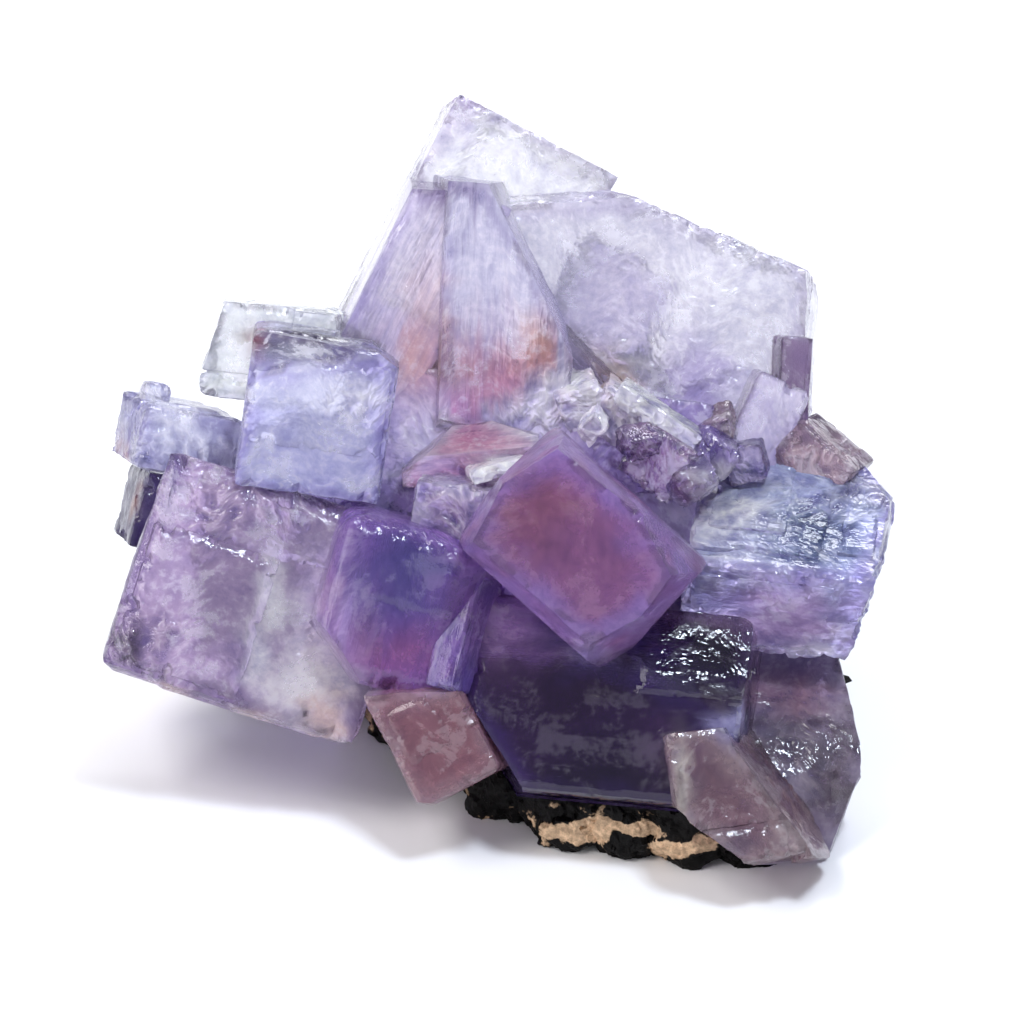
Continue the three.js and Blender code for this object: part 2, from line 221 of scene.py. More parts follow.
# Each crystal is a cuboid in the face frame: the middle, the three edges, and the turn about x, y
# and z in degrees. A cut takes away what lies beyond a point, on the side that the cut faces.
# A plate is a thin layer grown on a face, given by its two spans in shares of the face and its rise.
CRYSTALS = [
    # The pale crown at the top and the blades below it
    dict(look="crown", at=(-4.1, 62.2, -13.9), size=(18.5, 26, 15), turn=(-3, 7, -27.5),
         plates=[("+z", -0.5, 0.5, -0.02, 0.5, 0.5), ("+z", 0.1, 0.5, -0.3, 0.02, 0.4)]),
    dict(look="crown face", at=(13.9, 53.15, -11.65), size=(40, 24, 16), turn=(-3, 3, -23),
         cuts=[((11.8, 48.5, -3), (-0.66, -0.7, 0.28)), ((29.4, 55, -5), (1, -0.06, 0.15)),
               ((5, 66.4, -4), (-0.06, 1, 0.35))],
         plates=[("+y", 0.05, 0.4, -0.4, 0.4, 0.6)]),
    dict(look="crown", at=(4.3, 59.5, -18), size=(30, 20, 13), turn=(4, -4, -28)),
    dict(look="left blade", at=(-10.5, 56.5, -3), size=(10, 26, 14), turn=(3, 6, -26),
         cuts=[((-8.7, 67.9, 0), (0.05, 1, 0.15))], plates=[]),
    dict(look="middle blade", at=(-1.2, 56.5, -2), size=(13.5, 26, 14), turn=(4, 8, -2),
         cuts=[((-4.2, 68.4, 0), (0.1, 1, 0.1)), ((2.1, 58.2, 5), (0.9, 0.42, 0.15)),
               ((-7.1, 60.5, 5), (-0.98, 0.05, 0.15)), ((-0.2, 42.6, 3), (-0.12, -0.9, 0.5))], plates=[]),
    dict(look="sliver", at=(27.8, 47.6, -3.5), size=(3.3, 11, 9), turn=(3, 6, -3)),
    dict(look="sliver foot", at=(25.3, 44.6, -2.5), size=(6, 9, 8), turn=(3, 6, -24), plates=[]),

    # The blocks on the left
    dict(look="tall", at=(-19.4, 45.4, 3), size=(14.6, 15.2, 14), turn=(10, 4, -8),
         cuts=[((-14, 51.7, 8), (0.62, 0.78, 0.1)), ((-20, 51.2, 9.8), (-0.08, 0.62, 0.78))],
         plates=[("+z", -0.46, 0.46, -0.2, 0.42, 0.35), ("+y", -0.44, 0.44, -0.4, 0.2, 0.3)]),
    dict(look="pale", at=(-23.7, 51.5, -6), size=(13, 9.5, 12), turn=(5, -4, -6),
         cuts=[((-30, 52, 0), (-0.94, 0.34, 0.1))]),
    dict(look="ear", at=(-33.7, 42.9, -5), size=(11, 6.8, 9), turn=(8, 24, -9),
         plates=[("+y", -0.4, 0.3, -0.4, 0.3, 0.4)]),
    dict(look="ear", at=(-36.1, 46.9, -4), size=(3.2, 3.4, 4), turn=(4, 10, -10)),
    dict(look="lower ear", at=(-36.2, 35.7, -6), size=(5.5, 8, 9), turn=(4, 18, -14)),
    dict(look="left", at=(-25.1, 26.5, -1.4), size=(26.6, 22.6, 19), turn=(-3, 2, -18),
         cuts=[((-14, 18, 5), (1, -0.15, 0.1)), ((-40.5, 21.3, 8), (-0.8, -0.6, 0)),
               ((-33.2, 41.8, 8), (-0.94, 0.33, 0))],
         plates=[("+z", -0.47, 0.04, -0.46, 0.2, 1.1), ("+z", -0.3, 0.3, 0.16, 0.46, 0.6),
                 ("-y", -0.3, 0.4, -0.3, 0.42, 0.5)]),

    # The dark cubes in front
    dict(look="dark", at=(-11.3, 26.4, 5.4), size=(16.3, 16.5, 14.4), turn=(6, 8, -15.7),
         cuts=[((-17.2, 22.5, 12), (-0.81, -0.59, 0.25))],
         plates=[("+z", -0.36, 0.46, -0.06, 0.42, 0.3), ("+y", -0.46, 0.3, -0.3, 0.46, 0.3)]),
    dict(look="front", at=(6.5, 31.7, 14.5), size=(20.5, 14.7, 15), turn=(3, -3, -42),
         cuts=[((-1, 38.5, 18), (-0.89, 0.46, 0.12)), ((4.9, 42.3, 18), (-0.55, 0.84, 0.15)),
               ((4.9, 42.3, 18), (0.62, 0.785, 0.3)), ((14.9, 34.4, 18), (0.88, 0.47, 0.5)),
               ((17.5, 29.5, 18), (0.8, -0.6, 0.4)), ((7.1, 21.2, 18), (0.48, -0.88, 0.3)),
               ((-3.5, 30.8, 18), (-0.67, -0.745, 0.35))],
         plates=[]),
    dict(look="indigo", at=(10.1, 16.2, 4), size=(27.5, 19.3, 19), turn=(-4, -9, -5),
         cuts=[((-2.2, 13.2, 9), (-0.85, -0.52, 0.1)), ((24.9, 25, 9), (0.8, 0.6, 0)),
               ((20, 20, 13.2), (0.09, 0.5, 0.86))],
         plates=[("+z", 0.1, 0.46, 0.02, 0.44, 0.5),
                 ("+x", -0.3, 0.3, -0.3, 0.3, 0.4)]),
    dict(look="wedge", at=(-4, 23.3, 9.5), size=(3.6, 11.5, 8), turn=(0, -30, -14),
         cuts=[((-5.9, 24.5, 12), (-0.8, 0.6, 0.1))]),
    dict(look="brown", at=(-7.4, 13.9, 8), size=(9.2, 13, 9), turn=(-4, -6, 28),
         cuts=[((-10, 18.4, 9), (-0.1, 1, 0.3)), ((-6.2, 6.6, 9), (-0.1, -1, 0.1))],
         plates=[("+z", -0.4, 0.2, -0.2, 0.3, 0.4)]),

    # The stepped and broken crystals on the right
    dict(look="stepped", at=(27.6, 31.1, 2), size=(19.5, 11.4, 18.5), turn=(42, -8, -6),
         cuts=[((35.8, 38.5, 0), (0.75, 0.65, 0.1)), ((34.4, 25.5, 3), (0.94, -0.34, 0.1))],
         plates=[("+y", -0.47, 0.2, -0.47, 0.36, 0.5), ("+y", -0.4, 0, -0.4, 0.2, 1),
                 ("+y", 0.26, 0.46, -0.3, 0.3, 0.4), ("+z", -0.45, 0.3, -0.4, 0.4, 0.3)]),
    dict(look="corner", at=(28.1, 11.3, 1), size=(10.5, 20.6, 14), turn=(0, 10, 2),
         cuts=[((32.9, 6.5, 6), (0.93, -0.34, 0.1)), ((32.8, 17, 6), (0.95, 0.3, 0.1)),
               ((29, 9.4, 7.9), (0.06, 0.38, 0.92)), ((29, 12.6, 6.7), (0.05, 0.62, 0.78))],
         plates=[]),
    dict(look="corner front", at=(22.9, 7.6, 12), size=(15, 13, 10), turn=(-8, 10, 7),
         cuts=[((26.2, 8.3, 11), (0.8, 0.58, 0.25)), ((19.5, 4.1, 11), (-0.6, -0.78, 0))]),

    # Small crystals in the middle
    dict(look="pink", at=(-4.2, 42, 3.5), size=(14, 4.4, 9), turn=(35, 0, 5),
         cuts=[((-7, 42, 8), (-0.65, 0.76, 0.15)), ((-0.5, 43.4, 8), (0.28, 0.96, 0.1))]),
    dict(look="mauve", at=(-4.6, 35, 5), size=(10, 8, 9), turn=(12, -6, -10)),
    dict(look="rubble", at=(10.8, 45, 1), size=(6.5, 5, 7), turn=(20, 10, -35)),
    dict(look="rubble mauve", at=(15.3, 40.5, 3.5), size=(6.5, 6, 8), turn=(15, -12, -35)),
    dict(look="rubble", at=(6.8, 46.5, 2), size=(5, 4.5, 6), turn=(25, 0, 20)),
    dict(look="rubble mauve", at=(12.5, 42.2, 7), size=(4, 3, 4), turn=(30, 20, 10)),
    dict(look="knob", at=(17.8, 38.2, 7.5), size=(4.5, 3.5, 4), turn=(-10, 25, 35)),
    dict(look="rubble", at=(8, 43.8, 6), size=(3, 2.5, 4), turn=(15, -25, 40)),
    dict(look="rubble brown", at=(20.5, 44, 1.5), size=(3.5, 3, 5), turn=(25, -15, 15)),
    dict(look="strip", at=(-1.4, 39.6, 8.5), size=(6, 1.4, 4), turn=(15, 10, 14)),
    dict(look="knob", at=(19.6, 41, 4), size=(4.5, 5, 6), turn=(20, 15, -30)),
    dict(look="knob", at=(23.5, 40.5, 2), size=(4, 4, 6), turn=(10, -10, 10)),
    dict(look="rubble brown", at=(31, 40.6, -1.5), size=(8, 5.5, 8), turn=(20, -8, -42)),
    dict(look="strip", at=(14.7, 44.8, 3.5), size=(10, 2.2, 5), turn=(15, 0, -33)),

    # The far side
    dict(look="heart", at=(2, 34, -8), size=(34, 28, 22), turn=(0, 0, -6)),
    dict(look="back", at=(-9, 50, -18), size=(15, 17, 13), turn=(8, 24, -18)),
    dict(look="back dark", at=(7, 42, -24), size=(18, 16, 15), turn=(-14, 32, 12)),
    dict(look="back", at=(20, 40, -18), size=(14, 14, 14), turn=(18, -24, 14)),
    dict(look="back", at=(-22, 38, -15), size=(15, 13, 15), turn=(-10, -28, 18)),
    dict(look="back dark", at=(-8, 30, -23), size=(15, 14, 13), turn=(26, 12, -22)),
    dict(look="back dark", at=(23, 25, -14), size=(13, 13, 15), turn=(-20, 18, -10)),
    dict(look="left", at=(-24, 26, -11), size=(13, 12, 14), turn=(14, 38, 8)),
    dict(look="back", at=(9, 57, -23), size=(11, 10, 9), turn=(16, -20, -30)),
    dict(look="crown face", at=(-3, 66, -20), size=(8, 9, 7), turn=(-10, 30, 10)),
    dict(look="back", at=(30, 33, -9), size=(8, 9, 9), turn=(12, 28, -16)),
    dict(look="back dark", at=(4, 30, -28), size=(8, 7, 8), turn=(30, -22, 14)),
]

# Zones of another colour in the face frame: the middle, the radius in millimetres or one for each
# axis, the colour and its strength
ZONES = [
    # Rusty and pink feet of the two blades, painted shade in the slit between them, their dark tips,
    # and the magenta plate below them
    ((-9, 49.5, 4), (3.2, 6.5, 5), "c88c7c", 0.9),
    ((-8.2, 55.5, 4), (2.2, 5, 5), "cca8ac", 0.5),
    ((0, 50.2, 5), (5.5, 3.6, 5), "bc7c8a", 0.9),
    ((2.6, 52.5, 5), (2, 3.2, 4), "cc8c70", 0.8),
    ((-4.5, 50.5, 5), 2.0, "bc7468", 0.7),
    ((-1.5, 47.4, 5), (4, 1.8, 5), "dc8fb0", 0.8),
    # Painted shade in the dark slit between the two blades
    ((-6.4, 51, 4), (0.7, 3, 4), "301828", 1.0),
    ((-5.5, 67.4, 1), (4.8, 1.0, 8), "64467e", 0.9),
    ((-5, 43.8, 6), 3.2, "b4448c", 0.85),
    ((-3, 42.2, 8), 2.5, "ecb0c8", 0.8),
    ((-0.5, 40, 8), (3, 1.2, 5), "ffffff", 1.0),
    # Ice-like foot of the blades
    ((3.5, 44.6, 4), (5, 2.8, 6), "f2eeff", 0.95),
    ((-9, 42.6, 3), 4.0, "ece4fc", 0.9),
    ((9.6, 49.2, -3), (2.4, 2.4, 5), "ffd8b0", 1.0),
    # The crown: violet apex and foot, grey heart and a white right shoulder
    ((-5.6, 76.5, -8), 3.5, "b098cc", 0.7),
    ((-10.2, 71, -9), (1.5, 3.2, 8), "5c4880", 0.95),
    ((18.5, 49.2, -4), 3.6, "9c88c4", 0.75),
    ((10.5, 56.5, -4), (5.5, 7, 5), "d8d0da", 0.5),
    ((23, 58.5, -4), (6, 4.5, 6), "eeecf4", 0.7),
    ((-1, 70, -7), 4.5, "fcfcff", 0.7),
    # The tall block and the small ones on the left
    ((-20.7, 52.3, 7), (6.6, 2.1, 11), "1c0c28", 1.0),
    ((-25.5, 52.5, 7), (1.4, 1.9, 9), "7c2c1c", 1.0),
    ((-20, 48.5, 10), 3.5, "dcdcf0", 0.6),
    ((-14.5, 47, 10), 2.5, "e8e8f4", 0.6),
    ((-39.6, 41.6, -3), 2.0, "c88870", 0.9),
    ((-38.6, 36.4, -3), 1.8, "985c44", 0.95),
    # The left cube: a pale right half, a dark chip and a pink foot
    ((-17, 24, 8), (4.2, 7, 5), "f4eaff", 0.95),
    ((-20, 17.5, 8), (5, 4.5, 5), "fdf4ff", 0.95),
    ((-18.6, 14.6, 8), 2.4, "f4d0c4", 0.8),
    ((-36.6, 22.6, 8), 2.8, "2c2438", 0.9),
    ((-33.4, 39.5, 6), (1.4, 3, 5), "3c3274", 0.85),
    ((-37, 30, 6), 2.5, "8c78ac", 0.6),
    # The dark cube is indigo above and magenta below
    ((-11, 29.6, 12), (5, 4, 5), "6258a6", 0.85),
    ((-10, 30.5, 12), (3, 2.4, 5), "6055a0", 0.7),
    ((-12, 20.6, 12), (5.5, 3.6, 5), "a4609c", 0.8),
    ((-18, 26.5, 11), (1.5, 4.5, 6), "b48ac8", 0.8),
    # The front cube: a russet heart, and pale below and on the right
    ((2.6, 34.8, 22), (4.6, 5, 5), "945a72", 0.8),
    ((7.5, 30.8, 22), 4.2, "9a6492", 0.7),
    ((7.6, 21.9, 18), (2.4, 1.5, 6), "c8b8f0", 0.85),
    ((16.4, 32.5, 16), (1.2, 3.2, 6), "b8a8e4", 0.7),
    # The big dark cube: a bright lower right corner and a violet top left
    ((21.6, 15, 15), (2.2, 1.6, 4), "ccc6ff", 1.0),
    ((-1, 24.5, 13), 5.0, "b484d4", 0.8),
    ((16, 11, 13), 4.0, "64447a", 0.7),
    # The stepped crystal: lavender in front and on the left, steel blue on the right, darkened there as
    # painted shade of its rough relief
    ((26, 25, 8), (8, 5, 7), "b894c4", 0.9),
    ((20.5, 36, 8), (4.5, 5, 6), "fcf8ff", 0.9),
    # Steel blue darkened as painted shade of the rough relief
    ((30, 33, 8), (4.5, 3.4, 5), "3c5078", 0.9),
    ((33.5, 37, 3), 2.6, "5c5470", 0.7),
    ((16.3, 38.3, 9), 3.0, "6c3c6c", 0.8),
    ((20.5, 41.8, 6), 2.6, "7e65b8", 0.7),
    # Black-blue and brown-black behind the glints, and a painted highlight, a white line along the edge
    # of the broken corner
    ((19, 20.5, 12), (6.5, 3.4, 6), "1c1830", 0.85),
    ((10, 9.5, 13), (9, 3.4, 5), "221c34", 0.7),
    ((28, 13, 6), (6.5, 3.6, 6), "3c2a3c", 0.85),
    ((31.5, 8.4, 6), (2.6, 4.5, 6), "3c2c34", 0.85),
    ((28, 16.8, 5), (4.5, 2, 5), "bc8ca4", 0.8),
    # Painted highlight along the edge of the broken corner
    ((16.3, 8.4, 16), (0.5, 5, 6), "fff4ec", 0.95),
    ((27, 3.4, 14), (2.8, 2, 5), "e0c8d0", 0.8),
    ((21.2, 3.2, 14), (3.4, 1.5, 5), "34235a", 0.95),
    # A painted highlight along the ledge down the left cube, and the violet side of the small block above
    # it
    ((-23.6, 27, 8), (1.3, 3.4, 4), "f6f2fc", 0.9),
    ((-25.2, 21.5, 8), (1.3, 3.6, 4), "f6f2fc", 0.9),
    ((-38, 44, -2), (1.4, 2.4, 5), "776cc0", 0.85),
    # The thin peach foot of the left cube and the black specks near it
    ((-35, 17.5, 7), (3, 0.8, 5), "e4c0b8", 0.8),
    ((-28, 15, 7), (4, 0.8, 5), "e8c8c0", 0.8),
    ((-20.4, 15.2, 8), (0.3, 1.1, 4), "241020", 0.9),
    ((-19, 13.7, 8), (0.6, 0.3, 4), "241020", 0.9),
    # Painted highlights, white lines along the edges of the stepped crystal, below its front and at its
    # left corner
    ((29, 21.4, 8), (4, 0.7, 4), "fcf8ff", 0.9),
    ((16.9, 32.6, 8), (1.1, 1.8, 4), "f6f2fa", 0.8),
]

# Splintered places in the face frame: the middle, the radius in millimetres or one for each axis,
# and the strength
# Their strength also deepens the painted shade in the flakes' creases and the painted light on their
# crests
BREAKS = [
    ((20.5, 22, 12), (6, 4, 6), 0.2),
    ((28, 11.5, 7), 6.0, 0.5),
    ((26, 35, 8), 8.0, 0.6),
    ((33, 37.5, 3), 4.0, 1.0),
    ((26, 5, 12), 3.0, 0.6),
    ((-27, 36, 8), (9, 4, 5), 0.7),
    ((-36, 23, 8), 4.0, 0.8),
    ((13, 43, 6), 6.0, 0.9),
    ((22, 41, 5), 4.0, 0.7),
    ((31, 41, 2), 4.0, 0.9),
    ((-4, 35, 9), 5.0, 1.0),
    ((4, 46, 5), 5.0, 0.7),
    ((-9, 42.5, 4), 4.0, 0.6),
    ((-14, 46, 10), 4.0, 0.6),
    ((-34, 43, 0), 5.0, 0.6),
    ((20, 56, -4), 8.0, 0.15),
    ((14, 50, -3), 6.0, 0.25),
    ((-2, 70, -7), 8.0, 0.2),
]

# Lumps of the rock in the standing frame: the middle and the three radii
ROCK_LUMPS = [
    # The front edge, which shows below the crystals
    ((0.5, 6.5, 2.5), (6, 5.5, 6)),
    ((6, 2.5, 3), (5.5, 6, 6.5)),
    ((11.5, 0.5, 3), (5.2, 6, 7)),
    ((17.5, -0.5, 3.2), (5.4, 6.4, 7)),
    ((23, 0, 2.5), (5, 6.8, 6.5)),
    ((26.5, 7, 3), (5.5, 7, 6)),
    # The body below and behind the crystals
    ((10, 16, 5), (22, 15, 12)),
    ((-3, 23, 4), (13, 12, 10)),
    ((-18, 32, 3), (11, 9, 8)),
    ((19, 25, 4), (13, 14, 10)),
    ((4, 33, 6), (20, 13, 15)),
    ((-14, 34, 5), (13, 10, 11)),
]

# Pale lumps of the rock in the face frame: the middle and the radii
PALE_SPOTS = [
    ((6.8, 3.2, 9), (3.2, 1.4, 3)),
    ((3.8, 6.2, 10), (2.2, 0.9, 3)),
    ((11.5, 4, 10), (2.4, 0.9, 3)),
    ((8.8, 4.6, 10), (2.2, 0.7, 3)),
    ((3.2, 3.6, 9), (1.5, 1.2, 3)),
    ((15.5, 2.2, 9), (1.6, 0.8, 3)),
    ((18, 2.8, 9), (1.6, 0.8, 3)),
    ((-3.4, 7.2, 9), (2.2, 1.1, 4)),
    ((0.5, 7.6, 10), (1.6, 0.6, 3)),
    ((-8, 20, -12), (6, 6, 6)),
    ((14, 12, -14), (7, 5, 5)),
    ((28, 6, 2), (4, 3, 4)),
]

FACE_AXES = {"x": 0, "y": 1, "z": 2}

# Area lights: the name, the place and the two sides in metres, the power in watts and the colour
LIGHTS = [
    ("key", (-0.35, -0.2, 0.6), (0.3, 0.3), 2.6, (1, 0.98, 0.95)),
    ("fill", (-0.6, -0.3, 0.15), (0.4, 0.4), 1.8, (1, 0.98, 1)),
    ("back", (0.15, 0.5, 0.45), (0.4, 0.25), 3.5, (0.95, 0.97, 1)),
    ("glint", (0.15, -0.2, 0.62), (0.1, 0.1), 2.4, (0.78, 0.88, 1)),
]


def length_setting(name, about, millimetres):
    return bpy.props.FloatProperty(
        name=name, description=about, default=millimetres * MM, unit="LENGTH")


def colour_setting(name, about, light):
    return bpy.props.FloatVectorProperty(
        name=name, description=about, default=light[:3], subtype="COLOR")


def number_setting(name, about, value):
    return bpy.props.FloatProperty(name=name, description=about, default=value)


def count_setting(name, about, value):
    return bpy.props.IntProperty(name=name, description=about, default=value)


class CrystalSizes(bpy.types.PropertyGroup):
    """Sizes that all the crystals share."""

    lean: bpy.props.FloatProperty(
        name="Lean", description="How far the crystal face leans back from upright",
        default=math.radians(30), subtype="ANGLE")
    rest_level: length_setting("Rest level", "Height at which the rock is flat underneath", 4)
    plate_rise: length_setting("Plate rise", "Thickness of an ordinary growth plate", 0.35)
    plate_min_edge: length_setting(
        "Plate minimum edge", "Crystals with a shorter edge have no growth plates", 7)
    plate_share: number_setting(
        "Plate share", "Share of a growth plate's rise that its worn face keeps", 0.5)
    grid: length_setting("Grid", "Spacing of the points that carry the relief of a face", 0.36)
    chip: length_setting("Chip", "Depth of the nicks along the crystal edges", 0.5)
    triangles: count_setting(
        "Triangles", "Most triangles that the finished crystals keep", 190000)


class CrystalGlass(bpy.types.PropertyGroup):
    """Colours and clearness that all the crystals share."""

    # The veil colour is also the colour of the painted highlights along the edges
    veil_and_highlight: colour_setting("Veil", "Colour of the healed cracks and frosted patches", linear("f2f0fa"))
    speck: colour_setting("Speck", "Colour of the small specks under the faces", linear("3a2438"))
    depth: colour_setting("Depth", "Colour that light takes on inside the crystals", linear("cfc4e0"))
    density: number_setting("Density", "How fast light takes on that colour", 18)
    bending: number_setting("Bending", "Index of refraction of fluorite", 1.434)
    clearness: number_setting("Clearness", "Share of the light that goes into the crystals", 0.6)
    shine: number_setting("Shine", "Strength of the reflections on the faces", 0.65)


class RockLook(bpy.types.PropertyGroup):
    """Sizes and colours of the matrix rock."""

    gap: length_setting("Gap", "Hairline between the rock and the crystals", 0.3)
    detail: count_setting("Detail", "Subdivisions of each lump of the rock", 6)
    black: colour_setting("Black", "Colour of the dark part of the rock", linear("060404"))
    tan: colour_setting("Tan", "Colour of the pale lumps of the rock", linear("d0b090"))


class StageLook(bpy.types.PropertyGroup):
    """The camera, the floor and the even light."""

    distance: length_setting(
        "Camera distance", "From the middle of the crystal face to the camera", 450)
    floor: colour_setting("Floor", "Colour of the floor", linear("f1f0f2"))
    floor_reach: length_setting(
        "Floor reach", "From the middle of the floor to its sides", 3000)
    sky: colour_setting("Sky", "Colour of the even light from all sides", (0.92, 0.95, 1))
    sky_strength: number_setting("Sky strength", "Strength of the even light from all sides", 0.38)


def arithmetic(operation, swapped=False):
    """A method of Wire that adds a Math node for one operator."""
    def method(self, other):
        pair = (other, self) if swapped else (self, other)
        return self.recipe.math(operation, *pair)
    return method


class Wire:
    """An output socket, so that sums written with it add the nodes for them."""

    def __init__(self, recipe, socket):
        self.recipe = recipe
        self.socket = socket

    __add__ = arithmetic("ADD")
    __radd__ = arithmetic("ADD", True)
    __sub__ = arithmetic("SUBTRACT")
    __rsub__ = arithmetic("SUBTRACT", True)
    __mul__ = arithmetic("MULTIPLY")
    __rmul__ = arithmetic("MULTIPLY", True)
    __truediv__ = arithmetic("DIVIDE")
    __rtruediv__ = arithmetic("DIVIDE", True)

    def __abs__(self):
        return self.recipe.math("ABSOLUTE", self)

    def other(self, name):
        """Another output of the node that this one comes from."""
        return Wire(self.recipe, self.recipe.find(self.socket.node.outputs, name))


class Recipe:
    """A node tree that is being written."""

    def __init__(self, tree):
        self.tree = tree

    @staticmethod
    def find(sockets, key):
        if isinstance(key, int):
            return sockets[key]
        for socket in sockets:
            if socket.identifier == key:
                return socket
        return sockets[key]

    def node(self, kind, settings=None, inputs=None, output=0):
        """Add a node: its settings first, then the values or links of its sockets."""
        made = self.tree.nodes.new(kind)
        for name, value in (settings or {}).items():
            setattr(made, name, value)
        for key, value in (inputs or {}).items():
            socket = self.find(made.inputs, key)
            if isinstance(value, Wire):
                self.tree.links.new(value.socket, socket)
            else:
                socket.default_value = value
        return Wire(self, self.find(made.outputs, output))

    def math(self, operation, *values):
        return self.node("ShaderNodeMath", {"operation": operation}, dict(enumerate(values)))

    def vector(self, operation, *values):
        return self.node("ShaderNodeVectorMath", {"operation": operation}, dict(enumerate(values)))

    def parts(self, vector):
        whole = self.node("ShaderNodeSeparateXYZ", {}, {0: vector})
        return [whole, whole.other("Y"), whole.other("Z")]

    def join(self, x, y, z):
        return self.node("ShaderNodeCombineXYZ", {}, {0: x, 1: y, 2: z})

    def ramp(self, value, low, high, start=0.0, end=1.0):
        """Where a value goes from low to high, go smoothly from start to end."""
        return self.node("ShaderNodeMapRange", {"interpolation_type": "SMOOTHSTEP"},
                         {"Value": value, "From Min": low, "From Max": high,
                          "To Min": start, "To Max": end})

    def colour_mix(self, factor, a, b, blend="MIX"):
        return self.node("ShaderNodeMix", {"data_type": "RGBA", "blend_type": blend},
                         {"Factor_Float": factor, "A_Color": a, "B_Color": b}, "Result_Color")

    def noise(self, vector, scale, detail=2.0, roughness=0.5, distortion=0.0):
        return self.node("ShaderNodeTexNoise", {},
                         {"Vector": vector, "Scale": scale, "Detail": detail,
                          "Roughness": roughness, "Distortion": distortion})

    def ridges(self, vector, scale, detail=2.0, roughness=0.5):
        """Sharp crests that wind and branch."""
        return self.node("ShaderNodeTexNoise", {"noise_type": "RIDGED_MULTIFRACTAL"},
                         {"Vector": vector, "Scale": scale, "Detail": detail,
                          "Roughness": roughness, "Offset": 1.0, "Gain": 1.6})

    def cells(self, vector, scale):
        """One random colour for each block-shaped cell."""
        return self.node("ShaderNodeTexVoronoi", {"distance": "CHEBYCHEV"},
                         {"Vector": vector, "Scale": scale}, "Color")

    def output(self, shader, volume=None):
        """Make a shader, and a volume where there is one, what the material shows."""
        leave = self.tree.nodes.new("ShaderNodeOutputMaterial")
        self.tree.links.new(shader.socket, leave.inputs["Surface"])
        if volume:
            self.tree.links.new(volume.socket, leave.inputs["Volume"])


def new_geometry_recipe(name, inputs):
    """A Geometry Nodes tree with named inputs, given as name, socket kind and default."""
    tree = bpy.data.node_groups.new(name, "GeometryNodeTree")
    for title, kind, default in inputs:
        socket = tree.interface.new_socket(title, in_out="INPUT", socket_type=kind)
        if default is not None:
            socket.default_value = default
    tree.interface.new_socket("Geometry", in_out="OUTPUT", socket_type="NodeSocketGeometry")
    recipe = Recipe(tree)
    entry = tree.nodes.new("NodeGroupInput")
    wires = {title: Wire(recipe, entry.outputs[title]) for title, _, _ in inputs}
    return recipe, wires


def finish_geometry(recipe, geometry, material):
    real = recipe.node("GeometryNodeRealizeInstances", {}, {"Geometry": geometry})
    dressed = recipe.node("GeometryNodeSetMaterial", {}, {"Geometry": real, "Material": material})
    leave = recipe.tree.nodes.new("NodeGroupOutput")
    recipe.tree.links.new(dressed.socket, leave.inputs[0])


def add_object(name, mesh, collection=None):
    thing = bpy.data.objects.new(name, mesh)
    (collection or bpy.context.scene.collection).objects.link(thing)
    return thing


def taken(thing):
    """The plain mesh of an object with its modifiers. The object goes."""
    depsgraph = bpy.context.evaluated_depsgraph_get()
    made = bpy.data.meshes.new_from_object(thing.evaluated_get(depsgraph))
    bpy.data.objects.remove(thing)
    return made


def run_geometry(name, recipe, values):
    """The plain mesh that a tree gives for its named inputs."""
    thing = add_object(name, bpy.data.meshes.new(name))
    modifier = thing.modifiers.new(name, "NODES")
    modifier.node_group = recipe.tree
    for item in recipe.tree.interface.items_tree:
        if item.in_out == "INPUT" and item.name in values:
            modifier[item.identifier] = values[item.name]
    return taken(thing)


def edge_distance(recipe, components, halves, axis):
    """How far a point of a face is from the nearest edge of that face."""
    u, v = [other for other in range(3) if other != axis]
    return recipe.math("MINIMUM", halves[u] - abs(components[u]), halves[v] - abs(components[v]))


def relief_depth(recipe, spot, edge, wires):
    """How deep the relief is at a spot of a face: growth plates, small steps and edge nicks."""
    jitter = recipe.vector("SUBTRACT", recipe.noise(spot, 0.9, 2).other("Color"), (0.5, 0.5, 0.5))
    shaken = recipe.vector("MULTIPLY_ADD", jitter, (STEP_WANDER,) * 3, spot)
    steps = [recipe.parts(recipe.cells(shaken, scale))[part] for part, scale in enumerate(STEP_SCALES)]
    patch = recipe.ramp(recipe.noise(spot, 0.2, 1), 0.45, 0.6)
    wide, middling, narrow = STEP_SHARES
    plates = steps[0] * wide + steps[1] * patch * middling + steps[2] * patch * narrow
    nick = recipe.ramp(recipe.noise(spot, 0.5, 3, 0.6), 0.5, 0.72) * recipe.ramp(edge, 1.0, 0.0)
    bend = recipe.math("MAXIMUM", 1 - edge / wires["Round"], 0.0)
    return plates * wires["Mosaic"] + nick * wires["Chip"] + bend * bend * wires["Round"] * 0.3


